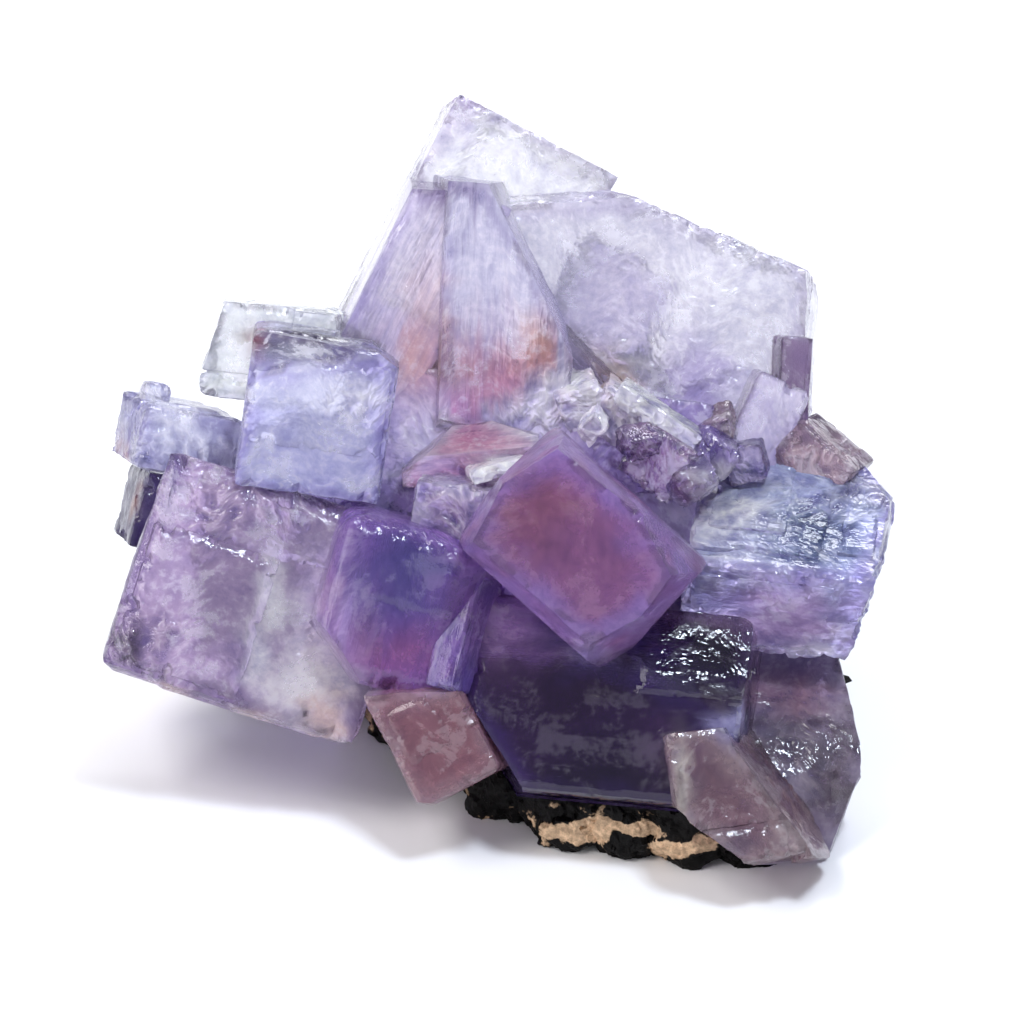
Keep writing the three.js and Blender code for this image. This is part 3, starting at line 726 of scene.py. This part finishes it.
def grown_block_recipe():
    """A gridded cuboid whose faces carry growth plates and nicked edges."""
    recipe, wires = new_geometry_recipe("Grown block", [
        ("Edges", "NodeSocketVector", (10.0, 10.0, 10.0)),
        ("Grid", "NodeSocketFloat", 0.5),
        ("Mosaic", "NodeSocketFloat", 0.3),
        ("Chip", "NodeSocketFloat", 0.3),
        ("Round", "NodeSocketFloat", 0.4),
        ("Grain", "NodeSocketVector", (1.0, 1.0, 1.0)),
        ("Seed", "NodeSocketFloat", 0.0),
        ("Material", "NodeSocketMaterial", None),
    ])
    edges = recipe.parts(wires["Edges"])
    counts = [edge / wires["Grid"] + 2 for edge in edges]
    cube = recipe.node("GeometryNodeMeshCube", {}, {
        "Size": wires["Edges"], "Vertices X": counts[0], "Vertices Y": counts[1],
        "Vertices Z": counts[2]})
    components = recipe.parts(recipe.node("GeometryNodeInputPosition"))
    halves = [edge * 0.5 for edge in edges]
    offset = recipe.join(*[wires["Seed"] * step for step in RELIEF_STEPS])
    moved = []
    for axis in range(3):
        places = list(components)
        places[axis] = recipe.math("SIGN", components[axis]) * halves[axis]
        spot = recipe.vector("MULTIPLY_ADD", recipe.join(*places), wires["Grain"], offset)
        depth = relief_depth(recipe, spot, edge_distance(recipe, components, halves, axis), wires)
        moved.append(components[axis] * (1 - depth / halves[axis]))
    shaped = recipe.node("GeometryNodeSetPosition", {}, {
        "Geometry": cube, "Position": recipe.join(*moved)})
    finish_geometry(recipe, shaped, wires["Material"])
    return recipe


def look_of(crystal):
    return {**PLAIN_LOOK, **LOOKS[crystal["look"]]}


def place_of(crystal):
    spin = Euler([math.radians(angle) for angle in crystal["turn"]], "XYZ").to_matrix().to_4x4()
    return Matrix.Translation(crystal["at"]) @ spin


def seen_from(place, spots):
    """Spots as coordinates in a frame that a matrix places."""
    back = np.array(place.inverted())
    return spots @ back[:3, :3].T + back[:3, 3]


def into_world(shift):
    """From the standing frame in millimetres to the world in metres."""
    return Matrix.Translation(shift) @ Matrix.Scale(MM, 4)


def face_to_world(sizes, shift):
    """From the face frame in millimetres to the world in metres."""
    return into_world(shift) @ standing(sizes)


def standing(sizes):
    """From the face frame to the standing frame, both in millimetres."""
    rise = Matrix.Translation((0, 0, -sizes.rest_level / MM))
    return rise @ Matrix.Rotation(math.radians(90) - sizes.lean, 4, "X")


def boolean(mesh, operation, others):
    """Join other meshes to a mesh, or take them away from it."""
    if not others:
        return mesh
    helpers = bpy.data.collections.new("helpers")
    bpy.context.scene.collection.children.link(helpers)
    thing = add_object("boolean", mesh)
    for other in others:
        add_object("helper", other, helpers)
    modifier = thing.modifiers.new("boolean", "BOOLEAN")
    modifier.operation = operation
    modifier.operand_type = "COLLECTION"
    modifier.collection = helpers
    modifier.solver = "MANIFOLD"
    made = taken(thing)
    for helper in list(helpers.objects):
        bpy.data.objects.remove(helper)
    bpy.data.collections.remove(helpers)
    return made


def set_owner(mesh, owner):
    layer = mesh.attributes.new("owner", "INT", "FACE")
    layer.data.foreach_set("value", np.full(len(mesh.polygons), owner, dtype=np.int32))


class CrystalGrower:
    """Makes the block of a crystal, its plates and what is cut from it, in the face frame."""

    def __init__(self, sizes, swell):
        self.sizes = sizes
        self.swell = swell
        self.recipe = grown_block_recipe()
        self.seed = 0

    def block(self, edges, place, look, owner, step_share=1.0):
        """A block whose growth steps are a share of what the look has."""
        self.seed += 1
        plain = self.swell > 0
        mesh = run_geometry("block", self.recipe, {
            "Edges": tuple(float(edge) + 2 * self.swell for edge in edges),
            "Grid": PLAIN_GRID if plain else self.sizes.grid / MM,
            "Mosaic": 0.0 if plain else step_share * look["mosaic"],
            "Chip": 0.0 if plain else self.sizes.chip / MM,
            "Round": PLAIN_ROUND if plain else look["round"],
            "Grain": tuple(float(g) for g in look["grain"]),
            "Seed": float(self.seed),
        })
        mesh.transform(place)
        set_owner(mesh, owner)
        return mesh

    def ordinary_plates(self, size, index):
        """One plate on each face of a crystal that is large enough."""
        if min(size) < self.sizes.plate_min_edge / MM:
            return []
        shift = PLATE_SLIDE * (index % 3)
        rise = self.sizes.plate_rise / MM
        from_u, to_u, from_v, to_v = PLATE_SPANS
        plates = []
        for turn, face in enumerate(("+z", "+y", "+x", "-z", "-y", "-x")):
            slide = shift if turn % 2 else -shift
            plates.append((face, from_u + slide, to_u + slide, from_v - slide, to_v - slide, rise))
        return plates

    def plate(self, crystal, plate, look, owner):
        face, from_u, to_u, from_v, to_v, rise = plate
        rise = rise * self.sizes.plate_share
        side = 1 if face[0] == "+" else -1
        axis = FACE_AXES[face[1]]
        u, v = [other for other in range(3) if other != axis]
        edges = crystal["size"]
        root = edges[axis] * PLATE_ROOT
        size = [0.0, 0.0, 0.0]
        offset = [0.0, 0.0, 0.0]
        size[axis] = root + rise
        offset[axis] = side * (edges[axis] / 2 + (rise - root) / 2)
        for along, start, end in ((u, from_u, to_u), (v, from_v, to_v)):
            size[along] = (end - start) * edges[along]
            offset[along] = (start + end) / 2 * edges[along]
        place = place_of(crystal) @ Matrix.Translation(offset)
        return self.block(size, place, look, owner, PLATE_STEPS)

    def cutter(self, crystal, through, facing, look, owner):
        reach = CUT_REACH * Vector(crystal["size"]).length
        out = Vector(facing).normalized()
        spin = Vector((0, 0, 1)).rotation_difference(out).to_matrix().to_4x4()
        beside = Vector(crystal["at"]) - Vector(through)
        foot = Vector(through) + beside - out * beside.dot(out)
        place = Matrix.Translation(foot + out * (reach / 4 + 2 * self.swell)) @ spin
        return self.block((reach, reach, reach / 2), place, look, owner, BREAK_STEPS)

    def crystal(self, crystal, index):
        look = look_of(crystal)
        place = place_of(crystal)
        plates = crystal.get("plates", self.ordinary_plates(crystal["size"], index))
        solid = boolean(
            self.block(crystal["size"], place, look, index), "UNION",
            [self.plate(crystal, plate, look, index) for plate in plates])
        cutters = [self.cutter(crystal, through, facing, look, index)
                   for through, facing in crystal.get("cuts", [])]
        return boolean(solid, "DIFFERENCE", cutters)


def plain_block(size, at):
    mesh = bpy.data.meshes.new("plain block")
    shape = bmesh.new()
    bmesh.ops.create_cube(shape, size=1, matrix=Matrix.Translation(at) @ Matrix.Diagonal((*size, 1)))
    shape.to_mesh(mesh)
    shape.free()
    return mesh


def below_rest():
    return plain_block((BED_REACH, BED_REACH, BED_DEPTH), (0, 0, -BED_DEPTH / 2))


def thinned(mesh, most):
    """The mesh with its flat places in fewer triangles."""
    mesh.calc_loop_triangles()
    count = len(mesh.loop_triangles)
    if count <= most:
        return mesh
    thing = add_object("thinned", mesh)
    modifier = thing.modifiers.new("thinned", "DECIMATE")
    modifier.ratio = most / count
    return taken(thing)


def largest_part(mesh):
    """The mesh without crumbs that a cut left loose and without sealed hollows."""
    shape = bmesh.new()
    shape.from_mesh(mesh)
    left = set(shape.verts)
    parts = []
    while left:
        start = left.pop()
        part = [start]
        stack = [start]
        while stack:
            vert = stack.pop()
            for edge in vert.link_edges:
                other = edge.other_vert(vert)
                if other in left:
                    left.remove(other)
                    part.append(other)
                    stack.append(other)
        parts.append(part)
    parts.sort(key=len)
    loose = [vert for part in parts[:-1] for vert in part]
    bmesh.ops.delete(shape, geom=loose, context="VERTS")
    bmesh.ops.triangulate(shape, faces=shape.faces)
    shape.to_mesh(mesh)
    shape.free()
    return mesh


def points_of(mesh):
    points = np.empty(len(mesh.vertices) * 3)
    mesh.vertices.foreach_get("co", points)
    return points.reshape(-1, 3)


def corner_spots(mesh, to_world):
    """Where each corner of a mesh in the world is in the face frame, in millimetres."""
    corners = np.empty(len(mesh.loops), dtype=np.int64)
    mesh.loops.foreach_get("vertex_index", corners)
    return seen_from(to_world, points_of(mesh))[corners]


def corner_owners(mesh):
    """The number of the crystal that each corner's face belongs to."""
    owners = np.empty(len(mesh.polygons), dtype=np.int32)
    mesh.attributes["owner"].data.foreach_get("value", owners)
    totals = np.empty(len(mesh.polygons), dtype=np.int64)
    mesh.polygons.foreach_get("loop_total", totals)
    return np.repeat(owners, totals)


def store_corners(mesh, name, values):
    """Keep one number, vector or colour for each corner."""
    kind, field = ATTRIBUTE_KINDS[values.size // len(values)]
    layer = mesh.attributes.new(name, kind, "CORNER")
    layer.data.foreach_set(field, np.ascontiguousarray(values, dtype=np.float32).ravel())


def wavy(spots):
    """How far each spot moves back and forth, so that what is round becomes ragged."""
    turned = spots[:, (1, 2, 0)]
    return 0.9 * np.sin(1.3 * turned + 0.4 * spots) + 0.5 * np.sin(3.1 * turned)


def swirled(spots):
    """The spots moved along slow waves, so that a pattern on them winds like a shell-shaped break."""
    turned = spots[:, (2, 0, 1)]
    return spots + 1.2 * np.sin(0.5 * turned) + 0.3 * np.sin(1.6 * turned)


def drifting(spots):
    """A slow random-looking wave, mostly between -0.3 and 0.3."""
    x, y, z = spots.T
    wide = np.sin(0.61 * x + 1.4 * np.sin(0.33 * y)) * np.sin(0.53 * y + 1.2 * np.sin(0.41 * z))
    bent = 1.17 * z + 1.1 * np.sin(0.83 * x) + 0.9 * x
    narrow = np.sin(1.31 * y + 1.7 * np.sin(0.57 * x)) * np.sin(bent)
    return 0.24 * wide + 0.16 * narrow


def blocky(spots):
    """Three random-looking values for each of the small blocks that a crystal is built from."""
    seeds = np.floor(spots / BLOCK_EDGE) @ np.array(SCRAMBLE)
    values = [np.abs(np.sin(seeds + shift) * SCRAMBLE_REACH) % 1 for shift in range(3)]
    return np.stack(values, axis=1)


def edge_room(local, spots, crystal):
    """How far spots on a crystal are from the nearest of its edges, broken ones too."""
    rooms = list((np.array(crystal["size"]) / 2 - np.abs(local)).T)
    for through, facing in crystal.get("cuts", []):
        out = np.array(facing) / np.linalg.norm(facing)
        rooms.append((np.array(through) - spots) @ out)
    return np.clip(np.sort(np.array(rooms), axis=0)[1], 0, None)


def share_of(spots, waves, at, radius):
    """1 in the middle of a ragged patch and 0 outside it."""
    raggedness = min(1.0, np.min(radius) / FULLY_RAGGED)
    away = np.linalg.norm((spots + raggedness * waves - np.array(at)) / np.array(radius), axis=1)
    return np.exp(-away ** 3)


def claimed(owners, spots):
    """The owners, with the crystal that reaches farthest round a spot for those without one."""
    orphans = owners == len(CRYSTALS)
    rooms = []
    for crystal in CRYSTALS:
        local = seen_from(place_of(crystal), spots[orphans])
        rooms.append((np.array(crystal["size"]) / 2 - np.abs(local)).min(axis=1))
    owners[orphans] = np.array(rooms).argmax(axis=0)
    return owners


def blended(colours, code, share):
    return colours * (1 - share) + np.array(linear(code)) * share


def dress_crystals(mesh, to_world):
    """Store on each corner what the shader needs: its colours and its place in the crystal."""
    spots = corner_spots(mesh, to_world)
    owners = claimed(corner_owners(mesh), spots)
    count = len(spots)
    kept = {name: np.zeros((count, 3)) for name in ("inside", "streak")}
    numbers = ("rim", "drift", "frost", "veil_and_highlight", "fibre", "broken")
    kept.update({name: np.zeros(count) for name in numbers})
    kept.update({name: np.ones((count, 4)) for name in ("core_colour", "rim_colour")})
    for index, crystal in enumerate(CRYSTALS):
        chosen = owners == index
        look = look_of(crystal)
        local = seen_from(place_of(crystal), spots[chosen])
        apart = PATTERN_STEP * index
        inside = swirled(local) + apart
        kept["inside"][chosen] = inside
        kept["streak"][chosen] = local * np.array(look["grain"]) + apart
        kept["rim"][chosen] = edge_room(local, spots[chosen], crystal) / look["band"]
        kept["drift"][chosen] = 0.5 + look["cloudy"] * drifting(inside)
        kept["core_colour"][chosen] = linear(look["core"])
        kept["rim_colour"][chosen] = linear(look["rim"])
        for name in ("frost", "veil_and_highlight", "fibre"):
            kept[name][chosen] = look[name]
    waves = wavy(spots)
    for at, radius, code, strength in ZONES:
        share = strength * share_of(spots, waves, at, radius)[:, None]
        kept["core_colour"] = blended(kept["core_colour"], code, share)
        kept["rim_colour"] = blended(kept["rim_colour"], code, RIM_SHARE * share)
    for at, radius, strength in BREAKS:
        kept["broken"] = np.maximum(kept["broken"], strength * share_of(spots, waves, at, radius))
    kept["mosaic"] = blocky(kept["inside"])
    for name, values in kept.items():
        store_corners(mesh, name, values)


def smooth_but_edges(mesh, angle):
    mesh.polygons.foreach_set("use_smooth", np.ones(len(mesh.polygons), dtype=bool))
    mesh.set_sharp_from_angle(angle=math.radians(angle))


def new_material(name):
    material = bpy.data.materials.new(name)
    material.use_nodes = True
    material.node_tree.nodes.clear()
    return material, Recipe(material.node_tree)


def attribute(recipe, name, output="Fac"):
    return recipe.node("ShaderNodeAttribute", {"attribute_name": name}, {}, output)


def fluorite_material(glass):
    """Glassy fluorite: tinted by zones, veiled by healed cracks and frosted in patches, with painted
    highlights along its edges and painted shade in the creases of its flakes.
    """
    material, recipe = new_material("fluorite")
    inside = attribute(recipe, "inside", "Vector")
    streak = attribute(recipe, "streak", "Vector")
    mosaic = attribute(recipe, "mosaic", "Vector")
    core = attribute(recipe, "core_colour", "Color")
    outer = attribute(recipe, "rim_colour", "Color")
    rim, frost, veil_and_highlight, fibre, broken, drift = [
        attribute(recipe, name) for name in ("rim", "frost", "veil_and_highlight", "fibre", "broken", "drift")]
    mottle = recipe.noise(inside, CLOUDS, 3, 0.65)
    lines = recipe.noise(streak, STRIATIONS, 2, 0.65)
    flake = recipe.ridges(inside, FLAKES, 2, 0.6)

    # The body and the rim of a crystal run into each other, and clouds, striations and blocks make both
    # lighter and darker; the flakes add painted shade in their creases and painted light on their crests
    tint = recipe.colour_mix(recipe.ramp(rim + (drift - 0.5) * 1.5, 0.0, 1.0), outer, core)
    tone = recipe.parts(mosaic)[0]
    # Painted shade in the creases of the flakes and painted light on their crests, stronger where the
    # crystal is broken
    flake_shading = (flake - 0.9) * (0.07 + broken)
    cloud = recipe.ramp(mottle, *CLOUD_RANGE) - 0.5
    shade = 0.95 + (drift - 0.5) * 0.6 + cloud * 0.2 + (lines - 0.5) * fibre + tone * 0.1 + flake_shading
    tint = recipe.colour_mix(1.0, tint, recipe.join(shade, shade, 0.35 + shade * 0.65), "MULTIPLY")

    # White veils and cracks, painted white highlights along the edges in some places and dark edges in
    # others, and dark specks
    crack = recipe.ramp(flake + mottle + broken * 0.2, *CRACK_RANGE)
    milk = recipe.math("MAXIMUM", recipe.ramp(mottle + drift, *MILK_RANGE), crack * veil_and_highlight)
    tint = recipe.colour_mix(milk * veil_and_highlight * 0.9, tint, (*glass.veil_and_highlight, 1))
    edge = recipe.ramp(rim, *EDGE_RANGE)
    # Painted highlight: the edges turn white where the slow wave is low
    edge_highlight = edge * recipe.ramp(drift, *EDGE_HIGHLIGHT_RANGE) * 0.5
    tint = recipe.colour_mix(edge_highlight * veil_and_highlight, tint, (*glass.veil_and_highlight, 1))
    inked = edge * recipe.ramp(drift, *INKED_RANGE)
    speck = recipe.math("MAXIMUM", recipe.ramp(mottle, *SPECK_RANGE), inked)
    base = recipe.colour_mix(speck * 0.4, tint, (*glass.speck, 1))

    # Frost where the clouds are, blocks turned a little out of the face, striations and flakes
    rough = 0.08 + frost * recipe.ramp(drift, *FROST_RANGE) * 0.3 + milk * 0.1
    tilt = recipe.vector("MULTIPLY_ADD", mosaic, (TILT,) * 3, (-TILT / 2,) * 3)
    normal = recipe.node("ShaderNodeNewGeometry", {}, {}, "Normal")
    facet = recipe.vector("NORMALIZE", recipe.vector("ADD", normal, tilt))
    height = lines * fibre + flake * (0.12 + broken * 1.4)
    bump = recipe.node("ShaderNodeBump", {}, {
        "Strength": 0.8, "Distance": FLAKE_HEIGHT, "Height": height, "Normal": facet})

    shader = recipe.node("ShaderNodeBsdfPrincipled", {}, {
        "Base Color": base, "Roughness": rough, "Normal": bump, "IOR": glass.bending,
        "Transmission Weight": glass.clearness, "Specular IOR Level": glass.shine})
    volume = recipe.node("ShaderNodeVolumeAbsorption", {}, {
        "Color": (*glass.depth, 1), "Density": glass.density})
    recipe.output(shader, volume)
    return material


def dress_rock(mesh, to_world):
    """Store on each corner of the rock how pale it is."""
    spots = corner_spots(mesh, to_world)
    waves = wavy(spots)
    pale = np.zeros(len(spots))
    for at, radii in PALE_SPOTS:
        pale = np.maximum(pale, share_of(spots, waves, at, radii))
    store_corners(mesh, "pale", pale)


def rock_material(look):
    """Black matrix with tan lumps and a fine grain."""
    material, recipe = new_material("matrix")
    place = recipe.node("ShaderNodeTexCoord", {}, {}, "Object")
    lumps = recipe.noise(place, TAN_LUMPS, 4, 0.65, 0.4)
    pale = recipe.ramp(lumps * 1.4 + attribute(recipe, "pale"), *TAN_RANGE)
    fine = recipe.noise(place, ROCK_GRAIN, 4, 0.7)
    shade = recipe.ramp(fine, 0.3, 0.75, 0.55, 1.4)
    colour = recipe.colour_mix(pale, (*look.black, 1), (*look.tan, 1))
    colour = recipe.colour_mix(0.9, colour, recipe.join(shade, shade, shade), "MULTIPLY")
    bump = recipe.node("ShaderNodeBump", {}, {
        "Strength": 0.7, "Distance": GRAIN_HEIGHT, "Height": fine + lumps * 2})
    shader = recipe.node("ShaderNodeBsdfPrincipled", {}, {
        "Base Color": colour, "Roughness": 0.55 + pale * 0.35, "Normal": bump,
        "Specular IOR Level": 0.15})
    recipe.output(shader)
    return material


def grown_together(sizes, swell=0.0):
    """All the crystals as one mesh in the face frame. A swollen one is plain and only makes room."""
    grower = CrystalGrower(sizes, swell)
    solids = [grower.crystal(crystal, index) for index, crystal in enumerate(CRYSTALS)]
    return boolean(solids[0], "UNION", solids[1:])


def standing_crystals(sizes):
    """One closed mesh of all the crystals, in the standing frame, in millimetres."""
    whole = thinned(largest_part(grown_together(sizes)), sizes.triangles)
    whole.transform(standing(sizes))
    floor = below_rest()
    set_owner(floor, len(CRYSTALS))
    return boolean(whole, "DIFFERENCE", [floor])


def origin_shift(mesh):
    """How far the standing frame moves, so that the crystals fill the frame's box."""
    points = points_of(mesh)
    frame_low, frame_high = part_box(CRYSTALS_NODE)
    middle = (np.array(frame_low) + np.array(frame_high)) / 2
    own = (points.min(axis=0) + points.max(axis=0)) / 2 * MM
    return Vector((middle[0] - own[0], middle[1] - own[1], 0))


class FLUORITE_OT_grow_crystals(bpy.types.Operator):
    """Grow the intergrown crystals as one closed piece"""

    bl_idname = "fluorite.grow_crystals"
    bl_label = "Grow crystals"

    def execute(self, context):
        sizes = context.scene.fluorite_sizes
        mesh = standing_crystals(sizes)
        shift = origin_shift(mesh)
        context.scene["fluorite_shift"] = tuple(shift)
        mesh.transform(into_world(shift))
        dress_crystals(mesh, face_to_world(sizes, shift))
        smooth_but_edges(mesh, CRYSTAL_CREASE)
        mesh.materials.clear()
        mesh.materials.append(fluorite_material(context.scene.fluorite_glass))
        crystals = add_object("fluorite_cluster", mesh)
        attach(crystals, BODY)
        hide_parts(CRYSTALS_NODE)
        return {"FINISHED"}


def rock_lump_recipe():
    """A lump of rock: a ball pushed in and out by waves, blocks and grains."""
    recipe, wires = new_geometry_recipe("Rock lump", [
        ("Radii", "NodeSocketVector", (5.0, 5.0, 5.0)),
        ("Middle", "NodeSocketVector", (0.0, 0.0, 0.0)),
        ("Detail", "NodeSocketInt", 5),
        ("Material", "NodeSocketMaterial", None),
    ])
    ball = recipe.node("GeometryNodeMeshIcoSphere", {}, {
        "Radius": 1.0, "Subdivisions": wires["Detail"]})
    out = recipe.node("GeometryNodeInputPosition")
    place = recipe.vector("MULTIPLY_ADD", out, wires["Radii"], wires["Middle"])
    waves = recipe.noise(place, LUMP_SCALES[0], 2, 0.5) - 0.5
    blocks = recipe.parts(recipe.cells(place, LUMP_SCALES[1]))[0] - 0.5
    grains = recipe.noise(place, LUMP_SCALES[2], 4, 0.65) - 0.5
    push = 1 + waves * LUMP_SHARES[0] + blocks * LUMP_SHARES[1] + grains * LUMP_SHARES[2]
    pushed = recipe.vector("MULTIPLY", out, recipe.join(push, push, push))
    shaped = recipe.node("GeometryNodeSetPosition", {}, {
        "Geometry": ball,
        "Position": recipe.vector("MULTIPLY_ADD", pushed, wires["Radii"], wires["Middle"])})
    finish_geometry(recipe, shaped, wires["Material"])
    return recipe


def rock_mesh(sizes, look):
    """The rock in the standing frame, in millimetres, clear of the crystals and flat underneath."""
    recipe = rock_lump_recipe()
    lumps = [run_geometry("lump", recipe, {"Radii": radii, "Middle": middle, "Detail": look.detail})
             for middle, radii in ROCK_LUMPS]
    whole = boolean(lumps[0], "UNION", lumps[1:])
    room = grown_together(sizes, look.gap / MM)
    room.transform(standing(sizes))
    return largest_part(boolean(whole, "DIFFERENCE", [room, below_rest()]))


class FLUORITE_OT_form_rock(bpy.types.Operator):
    """Form the matrix rock below the crystals"""

    bl_idname = "fluorite.form_rock"
    bl_label = "Form matrix rock"

    def execute(self, context):
        sizes = context.scene.fluorite_sizes
        look = context.scene.fluorite_rock
        mesh = rock_mesh(sizes, look)
        shift = Vector(context.scene["fluorite_shift"])
        mesh.transform(into_world(shift))
        dress_rock(mesh, face_to_world(sizes, shift))
        smooth_but_edges(mesh, ROCK_CREASE)
        mesh.materials.clear()
        mesh.materials.append(rock_material(look))
        rock = add_object("rock", mesh)
        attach(rock, BODY)
        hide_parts(ROCK_NODE)
        return {"FINISHED"}


def add_floor(look):
    reach = look.floor_reach
    sides = [(-reach, -reach, 0), (reach, -reach, 0), (reach, reach, 0), (-reach, reach, 0)]
    mesh = bpy.data.meshes.new("floor")
    mesh.from_pydata(sides, [], [(0, 1, 2, 3)])
    material, recipe = new_material("floor")
    shader = recipe.node("ShaderNodeBsdfPrincipled", {}, {
        "Base Color": (*look.floor, 1), "Roughness": 0.9})
    recipe.output(shader)
    mesh.materials.append(material)
    floor = add_object("floor", mesh)


def even_light(look):
    world = bpy.data.worlds.new("studio")
    world.use_nodes = True
    background = world.node_tree.nodes["Background"]
    background.inputs["Color"].default_value = (*look.sky, 1)
    background.inputs["Strength"].default_value = look.sky_strength
    return world


def add_area_light(name, at, size, power, colour, target):
    light = bpy.data.lights.new(name, "AREA")
    light.shape = "RECTANGLE"
    light.size, light.size_y = size
    light.energy = power
    light.color = colour
    thing = add_object(name, light)
    thing.location = at
    thing.rotation_euler = (target - Vector(at)).to_track_quat("-Z", "Y").to_euler()


def add_camera(distance, to_world, target):
    """A camera straight before the crystal face, whose picture is the photograph's frame."""
    view = bpy.data.cameras.new("camera")
    view.sensor_width = SENSOR_WIDTH
    view.lens = view.sensor_width * distance / (FRAME_PIXELS * MM_PER_PIXEL * MM)
    camera = add_object("camera", view)
    camera.location = to_world @ (Vector(FRAME_MIDDLE) + Vector((0, 0, distance / MM)))
    camera.rotation_euler = (camera.location - target).to_track_quat("Z", "Y").to_euler()
    return camera


class FLUORITE_OT_set_stage(bpy.types.Operator):
    """Set the floor, the lights and the camera"""

    bl_idname = "fluorite.set_stage"
    bl_label = "Set stage"

    def execute(self, context):
        scene = context.scene
        look = scene.fluorite_stage
        to_world = face_to_world(scene.fluorite_sizes, Vector(scene["fluorite_shift"]))
        target = to_world @ Vector(FRAME_MIDDLE)
        add_floor(look)
        scene.world = even_light(look)
        for light in LIGHTS:
            add_area_light(*light, target)
        scene.camera = add_camera(look.distance, to_world, target)
        scene.view_settings.view_transform = "Standard"
        return {"FINISHED"}


class FLUORITE_PT_panel(bpy.types.Panel):
    """Lists the steps that make the cluster"""

    bl_label = "Fluorite cluster"
    bl_idname = "FLUORITE_PT_panel"
    bl_space_type = "VIEW_3D"
    bl_region_type = "UI"
    bl_category = "Fluorite"

    def draw(self, context):
        for group in GROUPS:
            settings = getattr(context.scene, group)
            box = self.layout.box()
            for name in settings.bl_rna.properties.keys():
                if name not in ("rna_type", "name"):
                    box.prop(settings, name)
        for operator in OPERATORS:
            self.layout.operator(operator.bl_idname)


GROUPS = {
    "fluorite_sizes": CrystalSizes,
    "fluorite_glass": CrystalGlass,
    "fluorite_rock": RockLook,
    "fluorite_stage": StageLook,
}
OPERATORS = (FLUORITE_OT_grow_crystals, FLUORITE_OT_form_rock, FLUORITE_OT_set_stage)


def register():
    for group in GROUPS.values():
        bpy.utils.register_class(group)
    for operator in OPERATORS:
        bpy.utils.register_class(operator)
    bpy.utils.register_class(FLUORITE_PT_panel)
    for name, group in GROUPS.items():
        setattr(bpy.types.Scene, name, bpy.props.PointerProperty(type=group))


def unregister():
    for name in GROUPS:
        delattr(bpy.types.Scene, name)
    bpy.utils.unregister_class(FLUORITE_PT_panel)
    for operator in reversed(OPERATORS):
        bpy.utils.unregister_class(operator)
    for group in reversed(GROUPS.values()):
        bpy.utils.unregister_class(group)


def plain(box):
    return [[float(value) for value in corner] for corner in box]


def main():
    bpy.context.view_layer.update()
    register()
    bpy.ops.fluorite.grow_crystals()
    bpy.ops.fluorite.form_rock()
    bpy.ops.fluorite.set_stage()


if __name__ == "__main__":
    main()
